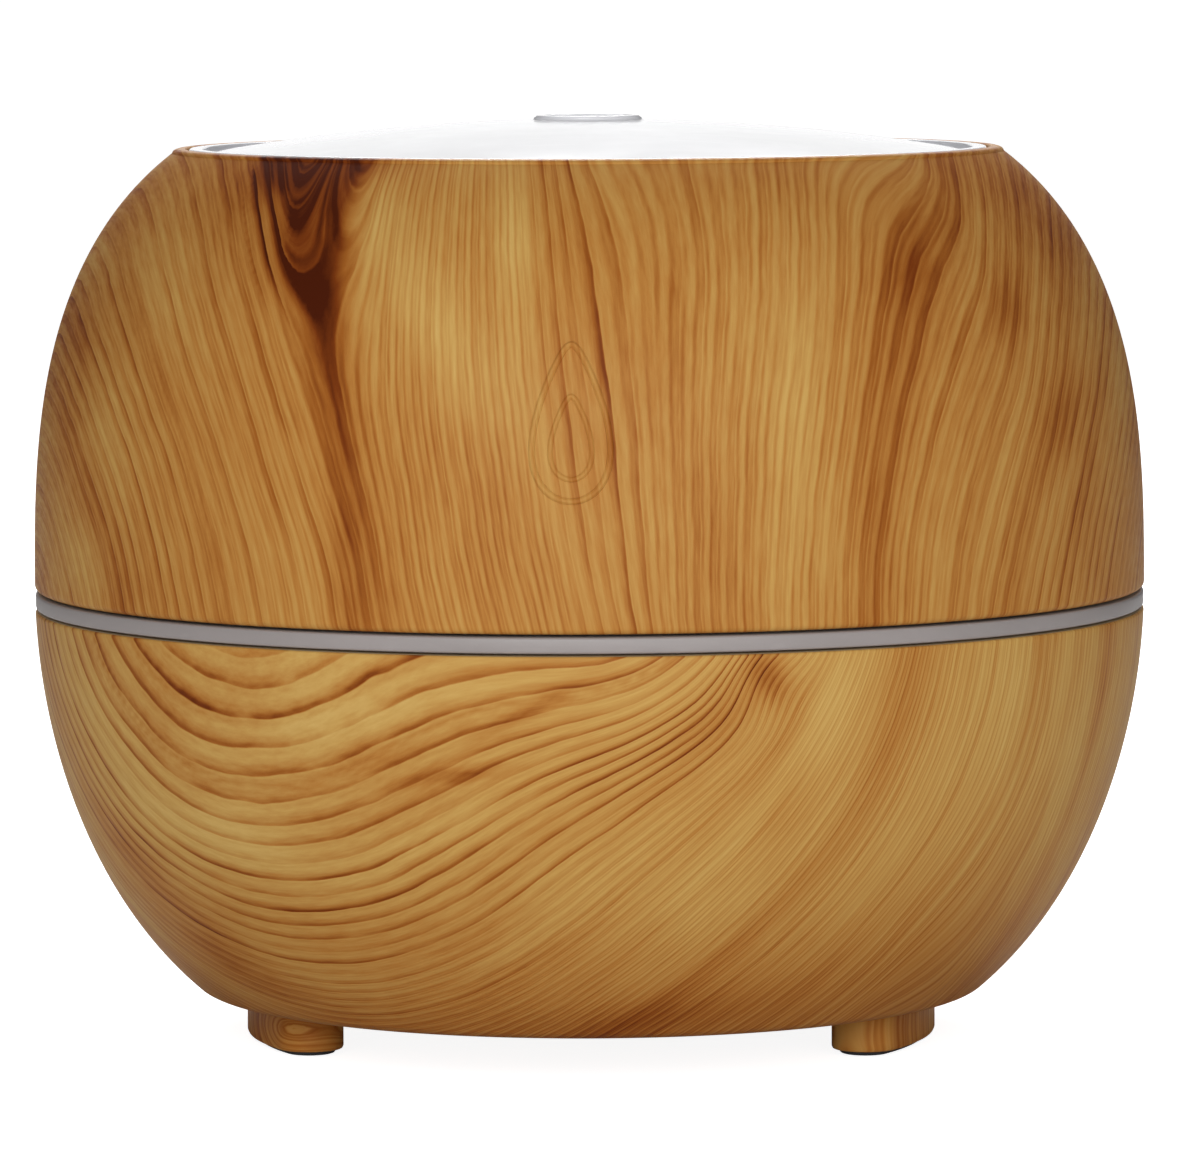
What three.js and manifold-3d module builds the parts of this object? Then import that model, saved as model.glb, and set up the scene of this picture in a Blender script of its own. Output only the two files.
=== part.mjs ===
// Ultrasonic essential oil diffuser: a lift-off cover over a bowl-shaped base that holds a water tank,
// an ultrasonic transducer, a small fan and the electronics.
// Millimetres, +Z up, front towards -Y. Origin: on the axis, at the surface the diffuser stands on.

import * as THREE from 'three';
import { mergeVertices } from 'three/addons/utils/BufferGeometryUtils.js';
import Module from 'manifold-3d';

const wasm = await Module();
wasm.setup();

// ---------------------------------------------------------------- driving dimensions

const BODY_R = 65;            // widest radius, at the joint between cover and base
const WALL = 2.2;             // moulded wall of the cover and the base
const FIT = 0.3;              // gap between pieces that touch

const FOOT_Z = 0.5;           // underside of the moulded feet, above the surface
const BOTTOM_Z = 5.4;         // flat underside of the bowl
const FLOOR_Z = BOTTOM_Z + WALL;
const BOWL_TOP_Z = 50.5;
const RING_Z = [50.8, 52.6];  // light ring, lower and upper face
const COVER_Z = 52.9;         // lower edge of the cover
const RIM_Z = 104.3;          // top edge of the cover
const OUTLET_Z = 108;         // top of the mist outlet
const BOTTOM_R = 44.6;        // flat part of the underside

const COVER_SPAN = 60.4;      // height of the full superellipse that the cover is cut from
const COVER_POWERS = [2.8, 3.3];
const BOWL_SPAN = 57.8;
const BOWL_POWERS = [1.91, 3.2];

const OPENING_R = 46.9;       // round opening in the top of the cover
const DOME_EDGE_R = 43.4;
const DOME_EDGE_Z = 103.9;
const DOME_TOP_Z = 107.5;
const SHEET = 1.8;            // wall of the dome
const OUTLET_R = [4.9, 6.15]; // mist outlet, bore and outside

const TANK_FLOOR_Z = 26.5;    // underside of the tank
const TANK_WALL = 2;
const TANK_CORNER_R = 14;     // outside corner between the tank's floor and wall
const TANK_FLAT_R = 36;
const TANK_RIM_Z = 58;
const FILL_Z = 51.5;          // water level of a full tank
const DUCT = { x: 32, width: 15, length: 26, top: 62, drop: 6 };

const TRANSDUCER_X = -12;
const TRANSDUCER_R = 10;
const CLAMP_SCREW_RING = 15.8;
const CLAMP_SCREW_ANGLES = [0, 120, 240];

const FAN = { x: 15, side: 35, height: 10, z: 9.6, bore: 16.4, pitch: 14.5, hub: 8 };

const INTAKE = { r: 14.5, slot: 2.2, pitch: 4.3 };

const BOARD = { x: [-36, -4], y: [-17, 17], z: 10.6, thick: 1.6 };
const PARTS_Z = BOARD.z + BOARD.thick + FIT;

const TOWER_RING = 38;        // radius on which the three long base screws stand
const TOWER_ANGLES = [37.5, 142.5, 270];

const FOOT = { ring: 36.6, thick: 7.8, spread: 30, angles: { left: 195, right: 345, rear: 90 } };
const PAD_INSET = 0.9;
const PAD_TOP = 1.1;

const BUTTON = { x: 8, z: 32, r: 4.2, tilt: 16, proud: 0.6 };
const KEY_BOARD_Y = [-11.4, -10.2];

const JACK = { z: 15.5, wall: [44.3, 46.5], pocket: { halfWidth: 8, z: [9, 22] } };

const ROUND = 40;             // sides of the large turned pieces
const SMALL = 8;              // sides of screws and other small round pieces

// ---------------------------------------------------------------- materials

const finish = (color, roughness, metalness = 0) =>
  new THREE.MeshStandardMaterial({ color, roughness, metalness });

const woodPrint = () => finish(0xbf8a4c, 0.4);
const glossWhite = () => finish(0xf4f4f6, 0.15);
const milkyWhite = () => finish(0xe9eaea, 0.35);
const frosted = () => finish(0x9b938f, 0.45);
const blackPlastic = () => finish(0x1b1b1d, 0.5);
const rubber = () => finish(0x2b2b2c, 0.85);
const silicone = () => finish(0xd9d9d6, 0.6);
const steel = () => finish(0xb4b6b8, 0.35, 1);
const brass = () => finish(0xc9a24e, 0.3, 1);
const boardGreen = () => finish(0x1f6b3c, 0.45);
const leadRed = () => finish(0xa8231f, 0.5);

// ---------------------------------------------------------------- turning geometries into solids

function toSolid(geometry) {
  const bare = geometry.clone();
  for (const name of ['normal', 'uv']) bare.deleteAttribute(name);
  const merged = mergeVertices(bare, 1e-4);
  const position = merged.attributes.position;
  const index = merged.index.array;
  const kept = [];
  let volume = 0;
  const corner = [0, 1, 2].map(() => new THREE.Vector3());
  for (let i = 0; i < index.length; i += 3) {
    const [a, b, c] = index.slice(i, i + 3);
    if (a === b || b === c || c === a) continue;
    kept.push(a, b, c);
    [a, b, c].forEach((v, k) => corner[k].fromBufferAttribute(position, v));
    volume += corner[0].dot(corner[1].cross(corner[2]));
  }
  if (volume < 0) kept.reverse();
  return new wasm.Manifold(new wasm.Mesh({
    numProp: 3,
    vertProperties: new Float32Array(position.array),
    triVerts: new Uint32Array(kept),
  }));
}

function toGeometry(solid) {
  const { vertProperties, triVerts, numProp } = solid.getMesh();
  const points = [];
  for (let i = 0; i < vertProperties.length; i += numProp) points.push(...vertProperties.slice(i, i + 3));
  const geometry = new THREE.BufferGeometry();
  geometry.setAttribute('position', new THREE.Float32BufferAttribute(points, 3));
  geometry.setIndex([...triVerts]);
  return geometry;
}

const join = (...geometries) => toGeometry(geometries.map(toSolid).reduce((a, b) => a.add(b)));
const cut = (geometry, ...tools) =>
  toGeometry(tools.map(toSolid).reduce((a, b) => a.subtract(b), toSolid(geometry)));
const common = (a, b) => toGeometry(toSolid(a).intersect(toSolid(b)));

// ---------------------------------------------------------------- basic shapes, all standing on +Z

const rad = THREE.MathUtils.degToRad;
const polar = (r, degrees) => [r * Math.cos(rad(degrees)), r * Math.sin(rad(degrees))];

// A closed outline of [radius, height] points, turned about the Z axis.
function revolve(points, sides = ROUND) {
  const loop = points.map(([r, z]) => new THREE.Vector2(r, z));
  const onAxis = points[0][0] === 0 && points.at(-1)[0] === 0;
  if (!onAxis) loop.push(loop[0].clone());
  return new THREE.LatheGeometry(loop, sides).rotateX(Math.PI / 2);
}

const block = (x, y, z) =>
  new THREE.BoxGeometry(x[1] - x[0], y[1] - y[0], z[1] - z[0])
    .translate((x[0] + x[1]) / 2, (y[0] + y[1]) / 2, (z[0] + z[1]) / 2);

const disc = (r, z, at = [0, 0], sides = SMALL, topR = r) =>
  new THREE.CylinderGeometry(topR, r, z[1] - z[0], sides).rotateX(Math.PI / 2)
    .translate(at[0], at[1], (z[0] + z[1]) / 2);

const prism = (shape, z, curveSegments = 6) =>
  new THREE.ExtrudeGeometry(shape, { depth: z[1] - z[0], bevelEnabled: false, curveSegments })
    .translate(0, 0, z[0]);

// An outline with parallel long sides and round ends, long way along Y.
function slot(width, length, at = [0, 0]) {
  const r = width / 2;
  const half = length / 2 - r;
  const shape = new THREE.Shape();
  shape.absarc(at[0], at[1] + half, r, 0, Math.PI);
  shape.absarc(at[0], at[1] - half, r, Math.PI, 2 * Math.PI);
  return shape;
}

// A kidney outline: an arc of given thickness about the Z axis, with round ends.
function kidney(ring, thick, middle, spread) {
  const [from, to] = [rad(middle - spread / 2), rad(middle + spread / 2)];
  const r = thick / 2;
  const shape = new THREE.Shape();
  shape.absarc(0, 0, ring + r, from, to);
  shape.absarc(ring * Math.cos(to), ring * Math.sin(to), r, to, to + Math.PI);
  shape.absarc(0, 0, ring - r, to, from, true);
  shape.absarc(ring * Math.cos(from), ring * Math.sin(from), r, from + Math.PI, from + 2 * Math.PI);
  return shape;
}

// A pan-head screw with its point up (head at the bottom), or with its point down.
function screw(at, headZ, length, headR, shankR, pointUp = true) {
  const s = pointUp ? 1 : -1;
  const head = shankR * 1.3;
  const outline = [[0, 0], [headR * 0.7, 0], [headR, s * head * 0.45], [headR, s * head], [shankR, s * head],
    [shankR, s * (length - shankR)], [shankR * 0.35, s * length], [0, s * length]];
  return revolve(outline, SMALL).translate(at[0], at[1], headZ);
}

// An insulated lead through the given points.
function lead(points, r = 0.8) {
  const path = new THREE.CatmullRomCurve3(points.map(p => new THREE.Vector3(...p)), false, 'centripetal');
  const section = new THREE.Shape(Array.from({ length: 6 }, (_, i) =>
    new THREE.Vector2(...polar(r, 60 * i))));
  return new THREE.ExtrudeGeometry(section, { steps: 10, extrudePath: path, bevelEnabled: false });
}

const part = (name, geometry, material) => {
  const mesh = new THREE.Mesh(toGeometry(toSolid(geometry)), material);
  mesh.name = name;
  return mesh;
};

// ---------------------------------------------------------------- outside form

// Both halves are superellipses that meet at the joint, where they are vertical.
const coverRadius = z => BODY_R * (1 - ((z - COVER_Z) / COVER_SPAN) ** COVER_POWERS[0]) ** (1 / COVER_POWERS[1]);
const bowlRadius = z => BODY_R * (1 - ((COVER_Z - z) / BOWL_SPAN) ** BOWL_POWERS[0]) ** (1 / BOWL_POWERS[1]);

// Points on a form between two heights, closest together near the second, moved inwards by `inset`.
function form(radiusAt, from, to, steps, inset = 0) {
  return Array.from({ length: steps + 1 }, (_, i) => {
    const z = from + (to - from) * Math.sin(Math.PI / 2 * i / steps);
    const slope = (radiusAt(z + 0.01) - radiusAt(z - 0.01)) / 0.02 || 0;
    const scale = inset / Math.hypot(1, slope);
    return [radiusAt(z) - scale, z + scale * slope];
  });
}

const domeHeight = r => {
  const rise = DOME_TOP_Z - DOME_EDGE_Z;
  const ball = (DOME_EDGE_R ** 2 + rise ** 2) / (2 * rise);
  return DOME_TOP_Z - ball + Math.sqrt(ball ** 2 - r ** 2);
};

// ---------------------------------------------------------------- cover, lifts off as one

function upperCover() {
  const outside = form(coverRadius, COVER_Z + 0.6, RIM_Z, 9);
  const inside = form(coverRadius, COVER_Z + 0.01, RIM_Z - 2.4, 6, WALL).reverse();
  const ledge = OPENING_R - 1;
  return revolve([[BODY_R - 0.6, COVER_Z], ...outside, [OPENING_R, RIM_Z], [OPENING_R, RIM_Z - 1.4],
    [ledge, RIM_Z - 1.4], [ledge, RIM_Z - 2.9], [inside[0][0] + 0.1, RIM_Z - 2.9], ...inside.slice(1)]);
}

const GUIDE_SHELF_Z = 93.5;
const GUIDE_SCREW_RING = 20;
const GUIDE_SCREW_ANGLES = [90, 210, 330];

function topDome() {
  const [bore, tube] = OUTLET_R;
  const steps = [16, 26, 36, DOME_EDGE_R];
  const outside = [tube, ...steps].map(r => [r, domeHeight(r)]);
  const underside = [42, ...steps.slice(0, -1).reverse(), tube].map(r => [r, domeHeight(r) - SHEET]);
  const flangeR = OPENING_R - FIT;
  const skirtR = flangeR - 1;
  const turned = revolve([[bore, OUTLET_Z], [tube, OUTLET_Z], ...outside,
    [DOME_EDGE_R + 0.3, RIM_Z - 1.3], [44.9, RIM_Z - 1.3], [45, RIM_Z],
    [flangeR, RIM_Z], [flangeR, RIM_Z - 1.1], [skirtR, RIM_Z - 1.1],
    [skirtR, RIM_Z - 3.3], [skirtR + 0.6, RIM_Z - 3.6], [skirtR + 0.6, RIM_Z - 4.3],
    [skirtR, RIM_Z - 4.8], [skirtR, RIM_Z - 5.8], [skirtR - 1.4, RIM_Z - 5.8], [skirtR - 1.4, RIM_Z - 2.8],
    ...underside, [tube, 98], [bore, 98]]);
  const bosses = GUIDE_SCREW_ANGLES.map(a => disc(2.6, [GUIDE_SHELF_Z + FIT, 105.6], polar(GUIDE_SCREW_RING, a), 12));
  const holes = GUIDE_SCREW_ANGLES.map(a => disc(1.4, [90, 103], polar(GUIDE_SCREW_RING, a)));
  return cut(join(turned, ...bosses), ...holes);
}

// Bell that gathers the mist over the tank and leads it to the outlet.
function mistGuide() {
  const bell = [[25.5, GUIDE_SHELF_Z], [37, 83], [48.5, 70], [53.2, 62.5], [55.2, 56.6]];
  const lining = [[53.7, 56.6], [51.8, 62], [47.3, 69.3], [35.8, 82.2], [24.8, GUIDE_SHELF_Z - 1.5]];
  const neck = OUTLET_R[1] + 0.45;
  const turned = revolve([[neck, 104.8], [neck + 1.4, 104.8], [neck + 1.4, GUIDE_SHELF_Z], ...bell,
    ...lining, [neck, GUIDE_SHELF_Z - 1.5]], 32);
  return cut(turned, ...GUIDE_SCREW_ANGLES.map(a => disc(1.5, [80, 96], polar(GUIDE_SCREW_RING, a))));
}

function lid() {
  const group = new THREE.Group();
  group.add(part('upper_cover', upperCover(), woodPrint()));
  group.add(part('top_dome', topDome(), glossWhite()));
  group.add(part('mist_guide', mistGuide(), milkyWhite()));
  GUIDE_SCREW_ANGLES.forEach((a, i) => {
    const at = polar(GUIDE_SCREW_RING, a);
    group.add(part(`guide_screw_${i + 1}`, screw(at, 90.1, 11, 2.4, 1.1), steel()));
  });
  return group;
}

// ---------------------------------------------------------------- base shell, feet and light ring

// Moves a shape from the buttons' own frame, where +Y points straight out of the wall, to its place.
const atButtons = geometry => geometry.rotateX(-rad(BUTTON.tilt)).translate(0, bowlRadius(BUTTON.z), BUTTON.z);

// A turned piece whose axis is Y, in the buttons' frame.
const pin = (x, r, y, sides = 16) => disc(r, [-y[1], -y[0]], [x, 0], sides).rotateX(Math.PI / 2);

function baseShell() {
  const outside = form(bowlRadius, BOWL_TOP_Z, BOTTOM_Z + 0.6, 9);
  const inside = form(bowlRadius, BOWL_TOP_Z, BOTTOM_Z + 2.4, 6, WALL).reverse();
  const outer = revolve([[0, BOTTOM_Z], [BOTTOM_R, BOTTOM_Z], ...outside.reverse(), [0, BOWL_TOP_Z]]);
  const hollow = revolve([[0, FLOOR_Z], [inside[0][0] - 1.5, FLOOR_Z], ...inside, [0, BOWL_TOP_Z]].map(
    ([r, z]) => [r, z === BOWL_TOP_Z ? z + 1 : z]));
  const shell = cut(outer, hollow);

  const { halfWidth, z } = JACK.pocket;
  const pocketWalls = common(outer, block([-halfWidth - 2.2, halfWidth + 2.2], [JACK.wall[0], 60], [6, z[1] + 2.2]));
  const pocket = block([-halfWidth, halfWidth], [JACK.wall[1], 70], z);
  const jackHole = disc(4.2, [-50, -40], [0, JACK.z], 16).rotateX(Math.PI / 2);

  const feet = Object.values(FOOT.angles).map(a =>
    prism(kidney(FOOT.ring, FOOT.thick, a, FOOT.spread), [FOOT_Z, BOTTOM_Z + 0.6]));
  const recess = FOOT.thick - 2 * (PAD_INSET - FIT);
  const padSeats = Object.values(FOOT.angles).map(a =>
    prism(kidney(FOOT.ring, recess, a, FOOT.spread), [-1, PAD_TOP + FIT]));

  const towers = TOWER_ANGLES.map(a => disc(5, [FLOOR_Z - 0.5, 11], polar(TOWER_RING, a), 14));
  const towerHoles = TOWER_ANGLES.flatMap(a => [
    disc(1.8, [0, 15], polar(TOWER_RING, a)), disc(3.5, [0, 8.8], polar(TOWER_RING, a), 14)]);

  const fanPosts = [[-1, -1], [1, 1]].map(([i, j]) =>
    disc(3, [FLOOR_Z - 0.5, FAN.z - FIT], [FAN.x + i * FAN.pitch, j * FAN.pitch]));
  const fanPostHoles = [[-1, -1], [1, 1]].map(([i, j]) =>
    disc(1.5, [7, FAN.z], [FAN.x + i * FAN.pitch, j * FAN.pitch]));
  const intake = Array.from({ length: 7 }, (_, i) => (i - 3) * INTAKE.pitch).map(dx =>
    prism(slot(INTAKE.slot, 2 * Math.sqrt(INTAKE.r ** 2 - dx ** 2), [FAN.x + dx, 0]), [0, 9], 3));

  const boardPosts = boardCorners().map(at => disc(2.4, [FLOOR_Z - 0.5, BOARD.z - FIT], at));
  const boardHoles = boardScrewPlaces().map(at => disc(1.3, [8.4, BOARD.z], at));

  const ribs = [45, 135, 225, 315].map(a => block([57, 62.4], [-1, 1], [39, 43.3]).rotateZ(rad(a)));

  const keyPost = atButtons(join(pin(0, 2, [KEY_BOARD_Y[1] + FIT, -1]), pin(0, 0.9, [-11.9, -9])));
  const keyHoles = [-1, 1].map(side => atButtons(pin(side * BUTTON.x, BUTTON.r + FIT, [-4.4, 4])));

  return cut(join(shell, pocketWalls, ...feet, ...towers, ...fanPosts, ...boardPosts, ...ribs, keyPost),
    pocket, jackHole, ...padSeats, ...towerHoles, ...fanPostHoles, ...intake, ...boardHoles, ...keyHoles);
}

const lightRing = () => revolve([[58, RING_Z[0]], [60.4, RING_Z[0]], [60.4, 48.6], [62, 48.6], [62, RING_Z[0]],
  [BODY_R - 0.1, RING_Z[0]], [BODY_R - 0.1, RING_Z[1]], [58, RING_Z[1]]]);

function housing() {
  const group = new THREE.Group();
  group.add(part('base_shell', baseShell(), woodPrint()));
  group.add(part('light_ring', lightRing(), frosted()));
  const padThick = FOOT.thick - 2 * PAD_INSET;
  for (const [side, a] of Object.entries(FOOT.angles)) {
    const pad = prism(kidney(FOOT.ring, padThick, a, FOOT.spread), [0, PAD_TOP]);
    group.add(part(`foot_pad_${side}`, pad, rubber()));
  }
  TOWER_ANGLES.forEach((a, i) => {
    group.add(part(`base_screw_${i + 1}`, screw(polar(TOWER_RING, a), 6.6, 13, 3.1, 1.4), steel()));
  });
  return group;
}

// ---------------------------------------------------------------- water tank

function waterTank() {
  const arc = (r, from, to, steps) => Array.from({ length: steps + 1 }, (_, i) => {
    const a = rad(from + (to - from) * i / steps);
    return [TANK_FLAT_R + r * Math.cos(a), TANK_FLOOR_Z + TANK_CORNER_R + r * Math.sin(a)];
  });
  const inner = TANK_CORNER_R - TANK_WALL;
  const turned = revolve([[0, TANK_FLOOR_Z], ...arc(TANK_CORNER_R, -90, 0, 4), [51.6, COVER_Z],
    [62.2, COVER_Z], [62.2, 54.3], [52, 54.3], [52, TANK_RIM_Z - 0.4], [51.6, TANK_RIM_Z], [50.4, TANK_RIM_Z],
    [50, TANK_RIM_Z - 0.4], ...arc(inner, 0, -90, 4), [0, TANK_FLOOR_Z + TANK_WALL]], 36);

  const ductOutside = prism(slot(DUCT.width, DUCT.length, [DUCT.x, 0]), [TANK_FLOOR_Z + 0.4, DUCT.top], 5);
  const ductBore = prism(slot(DUCT.width - 4, DUCT.length - 4, [DUCT.x, 0]), [20, 70], 5);
  const slant = block([-20, 20], [-20, 20], [0, 20]).rotateY(Math.atan(DUCT.drop / DUCT.width))
    .translate(DUCT.x, 0, DUCT.top - DUCT.drop / 2);
  const fillMark = block([DUCT.x - DUCT.width / 2 - 0.6, DUCT.x - DUCT.width / 2 + 1], [-5, 5],
    [FILL_Z - 0.4, FILL_Z + 0.4]);

  const at = [TRANSDUCER_X, 0];
  const seat = disc(13.6, [23.4, TANK_FLOOR_Z + 0.4], at, 20);
  const seatBore = disc(11.6, [20, TANK_FLOOR_Z], at, 20);
  const well = disc(8, [TANK_FLOOR_Z - 1, TANK_FLOOR_Z + TANK_WALL + 0.5], at, 20, 14.8);
  const posts = clampScrewPlaces().map(p => disc(2.6, [23.4, TANK_FLOOR_Z + 0.4], p));
  const postHoles = clampScrewPlaces().map(p => disc(1.3, [20, 26.2], p));

  const towers = TOWER_ANGLES.map(a => disc(4, [11.3, TANK_FLOOR_Z + 1.5], polar(TOWER_RING, a), 12));
  const towerHoles = TOWER_ANGLES.map(a => disc(1.7, [10, 21], polar(TOWER_RING, a)));

  const duct = cut(join(ductOutside, fillMark), slant);
  return cut(join(turned, duct, seat, ...posts, ...towers), ductBore, seatBore, well, ...postHoles, ...towerHoles);
}

const clampScrewPlaces = () => CLAMP_SCREW_ANGLES.map(a => {
  const [x, y] = polar(CLAMP_SCREW_RING, a);
  return [TRANSDUCER_X + x, y];
});

function transducer() {
  const group = new THREE.Group();
  const at = g => g.translate(TRANSDUCER_X, 0, 0);
  const groove = TRANSDUCER_R + FIT;
  const plate = join(disc(14.6, [21.9, 23.1], [0, 0], 20),
    ...CLAMP_SCREW_ANGLES.map(a => disc(3.4, [21.9, 23.1], polar(CLAMP_SCREW_RING, a))));
  const clampHoles = CLAMP_SCREW_ANGLES.map(a => disc(1.4, [20, 25], polar(CLAMP_SCREW_RING, a)));
  group.add(part('transducer_disc', at(disc(TRANSDUCER_R, [24.4, 25.2], [0, 0], 20)), brass()));
  group.add(part('transducer_seal', at(revolve([[7.6, 26.2], [11.3, 26.2], [11.3, 23.4], [7.6, 23.4],
    [7.6, 24.1], [groove, 24.1], [groove, 25.5], [7.6, 25.5]], 20)), silicone()));
  group.add(part('transducer_clamp', at(cut(plate, disc(7.6, [20, 25], [0, 0], 20), ...clampHoles)), milkyWhite()));
  clampScrewPlaces().forEach((p, i) => {
    group.add(part(`clamp_screw_${i + 1}`, screw(p, 20.1, 5.6, 2.2, 1), steel()));
  });
  return group;
}

// ---------------------------------------------------------------- fan

function fanFrame() {
  const half = FAN.side / 2;
  const top = FAN.z + FAN.height;
  const body = block([-half, half], [-half, half], [FAN.z, top]);
  const corners = [[-1, -1], [-1, 1], [1, -1], [1, 1]];
  const ring = cut(body, disc(FAN.bore, [0, 30], [0, 0], 24),
    ...corners.map(([i, j]) => disc(1.6, [0, 30], [i * FAN.pitch, j * FAN.pitch])));
  const struts = [0, 120, 240].map(a => block([0, FAN.bore + 0.5], [-1, 1], [FAN.z, FAN.z + 1.6]).rotateZ(rad(a)));
  return join(ring, disc(FAN.hub + 0.5, [FAN.z, FAN.z + 1.6], [0, 0], 16), ...struts).translate(FAN.x, 0, 0);
}

// Hub cup with seven blades, each a twisted plate.
function fanRotor() {
  const [low, high] = [FAN.z + 2.1, FAN.z + FAN.height - 0.4];
  const hub = revolve([[0, high], [FAN.hub - 0.6, high], [FAN.hub, high - 0.6], [FAN.hub, low],
    [FAN.hub - 1.2, low], [FAN.hub - 1.2, high - 1.4], [0, high - 1.4]], 16);
  const blade = i => {
    const plate = new THREE.BoxGeometry(FAN.bore - FAN.hub, 1.1, high - low - 1.2, 2, 1, 2);
    plate.translate((FAN.bore + FAN.hub) / 2 - 0.9, 0, 0);
    const position = plate.attributes.position;
    for (let k = 0; k < position.count; k++) {
      const z = position.getZ(k);
      const twist = rad(38 - 0.9 * (position.getX(k) - FAN.hub));
      position.setY(k, position.getY(k) + z * Math.tan(twist));
    }
    return plate.translate(0, 0, (low + high) / 2).rotateZ(i * 2 * Math.PI / 7);
  };
  return join(hub, ...Array.from({ length: 7 }, (_, i) => blade(i))).translate(FAN.x, 0, 0);
}

function fan() {
  const group = new THREE.Group();
  group.add(part('fan_frame', fanFrame(), blackPlastic()));
  group.add(part('fan_rotor', fanRotor(), blackPlastic()));
  [[-1, -1], [1, 1]].forEach(([i, j], n) => {
    const at = [FAN.x + i * FAN.pitch, j * FAN.pitch];
    group.add(part(`fan_screw_${n + 1}`, screw(at, 21.5, 12.9, 2.4, 1.2, false), steel()));
  });
  return group;
}

// ---------------------------------------------------------------- electronics

const boardCorners = () => [[-33, -14], [-7, 14], [-33, 14], [-7, -14]];
const boardScrewPlaces = () => boardCorners().slice(0, 2);

// Two-row header: an open-topped box on the board.
const header = at => cut(block([-3, 3], [-2.4, 2.4], [PARTS_Z, PARTS_Z + 5.6]),
  block([-2.5, 2.5], [-1.9, 1.9], [PARTS_Z + 1.4, PARTS_Z + 9])).translate(...at, 0);

const capacitor = at => revolve([[0, PARTS_Z], [3, PARTS_Z], [3, PARTS_Z + 0.7], [2.75, PARTS_Z + 1.1],
  [3, PARTS_Z + 1.5], [3, PARTS_Z + 6.3], [2.6, PARTS_Z + 6.7], [0, PARTS_Z + 6.7]], 12).translate(...at, 0);

const chokeCoil = at => revolve([[0, PARTS_Z], [4.4, PARTS_Z], [4.4, PARTS_Z + 1], [3.7, PARTS_Z + 1.2],
  [3.7, PARTS_Z + 5.6], [4.4, PARTS_Z + 5.8], [4.4, PARTS_Z + 6.8], [0, PARTS_Z + 6.8]], 12).translate(...at, 0);

function heatSink(at) {
  const fins = [-4.2, -1.4, 1.4, 4.2].map(y => block([-2.6, 1.4], [y - 0.5, y + 0.5], [PARTS_Z, PARTS_Z + 6.6]));
  return join(block([1, 2.6], [-4.7, 4.7], [PARTS_Z, PARTS_Z + 6.6]), ...fins).translate(...at, 0);
}

function electronics() {
  const group = new THREE.Group();
  const board = cut(block(BOARD.x, BOARD.y, [BOARD.z, BOARD.z + BOARD.thick]),
    ...boardScrewPlaces().map(at => disc(1.4, [0, 20], at)));
  group.add(part('main_board', board, boardGreen()));
  boardScrewPlaces().forEach((at, i) => {
    group.add(part(`board_screw_${i + 1}`, screw(at, 13.9, 5.2, 2.1, 1, false), steel()));
  });
  group.add(part('choke_coil', chokeCoil([-15, -11]), finish(0x8a4b22, 0.4)));
  group.add(part('capacitor_1', capacitor([-24.5, -12]), finish(0x20242c, 0.35)));
  group.add(part('capacitor_2', capacitor([-27, 12]), finish(0x20242c, 0.35)));
  group.add(part('driver_chip', block([-24, -14], [-2, 2], [PARTS_Z, PARTS_Z + 1.6]), blackPlastic()));
  group.add(part('heat_sink', heatSink([-32.5, 1]), finish(0xaab0b4, 0.4, 1)));
  group.add(part('power_transistor', block([-29.6, -28.2], [-3, 5], [PARTS_Z, PARTS_Z + 5.5]), blackPlastic()));
  group.add(part('fan_header', header([-8, -5]), milkyWhite()));
  group.add(part('jack_header', header([-8, 3]), milkyWhite()));
  group.add(part('disc_header', header([-16, 9]), milkyWhite()));

  const ledBoard = revolve([[53.6, 43.6], [59, 43.6], [59, 44.8], [53.6, 44.8]], 40);
  group.add(part('led_board', ledBoard, boardGreen()));
  for (let i = 0; i < 6; i++) {
    const led = block([53.8, 58.8], [-2.5, 2.5], [45.1, 46.7]).rotateZ(i * Math.PI / 3);
    group.add(part(`led_${i + 1}`, led, finish(0xf2e6a8, 0.3)));
  }
  return group;
}

// ---------------------------------------------------------------- buttons and power inlet at the rear

function button(side) {
  const x = side * BUTTON.x;
  const skin = revolve([[0, 10], ...form(bowlRadius, 44, 20, 6).reverse(), [0, 50]].map(([r, z]) =>
    [r === 0 ? 0 : r + BUTTON.proud, z]), 120);
  const cap = common(atButtons(pin(x, BUTTON.r, [-5.3, 4])), skin);
  const flange = atButtons(pin(x, BUTTON.r + 0.8, [-5.3, -4.5]));
  const plunger = atButtons(pin(x, 1.3, [-5.8, -5], SMALL));
  return join(cap, flange, plunger);
}

const tactSwitch = side => atButtons(join(
  block([side * BUTTON.x - 3, side * BUTTON.x + 3], [-9.9, -7.2], [-3, 3]),
  pin(side * BUTTON.x, 1.7, [-7.5, -6.5], 16)));

const keyBoard = () => atButtons(cut(block([-15, 15], KEY_BOARD_Y, [-5, 5]), pin(0, 1.2, [-14, -8], 12)));

// Panel socket for a 5.5 mm plug with a 2.1 mm centre pin, pointing out through the rear wall.
function dcJack() {
  const alongY = (outline, sides) => revolve(outline, sides).rotateX(-Math.PI / 2).translate(0, 0, JACK.z);
  const [wallIn, wallOut] = JACK.wall;
  const face = wallOut + FIT + 1.2;
  const barrel = alongY([[0, 36], [3.9, 36], [3.9, wallOut + FIT], [5.4, wallOut + FIT], [5.4, face - 0.3],
    [5.1, face], [2.75, face], [2.75, 38], [1.05, 38], [1.05, face - 1.5], [0.7, face - 1], [0, face - 1]], 16);
  const tabs = [-2, 2].map(x => block([x - 0.9, x + 0.9], [30.5, 36.2], [JACK.z - 0.3, JACK.z + 0.3]));
  const nut = cut(disc(5.8, [-wallIn + FIT, -wallIn + FIT + 2.2], [0, 0], 6), disc(4.2, [-60, 0], [0, 0], 16))
    .rotateX(Math.PI / 2).translate(0, 0, JACK.z);
  return { jack: join(barrel, ...tabs), nut };
}

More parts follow.
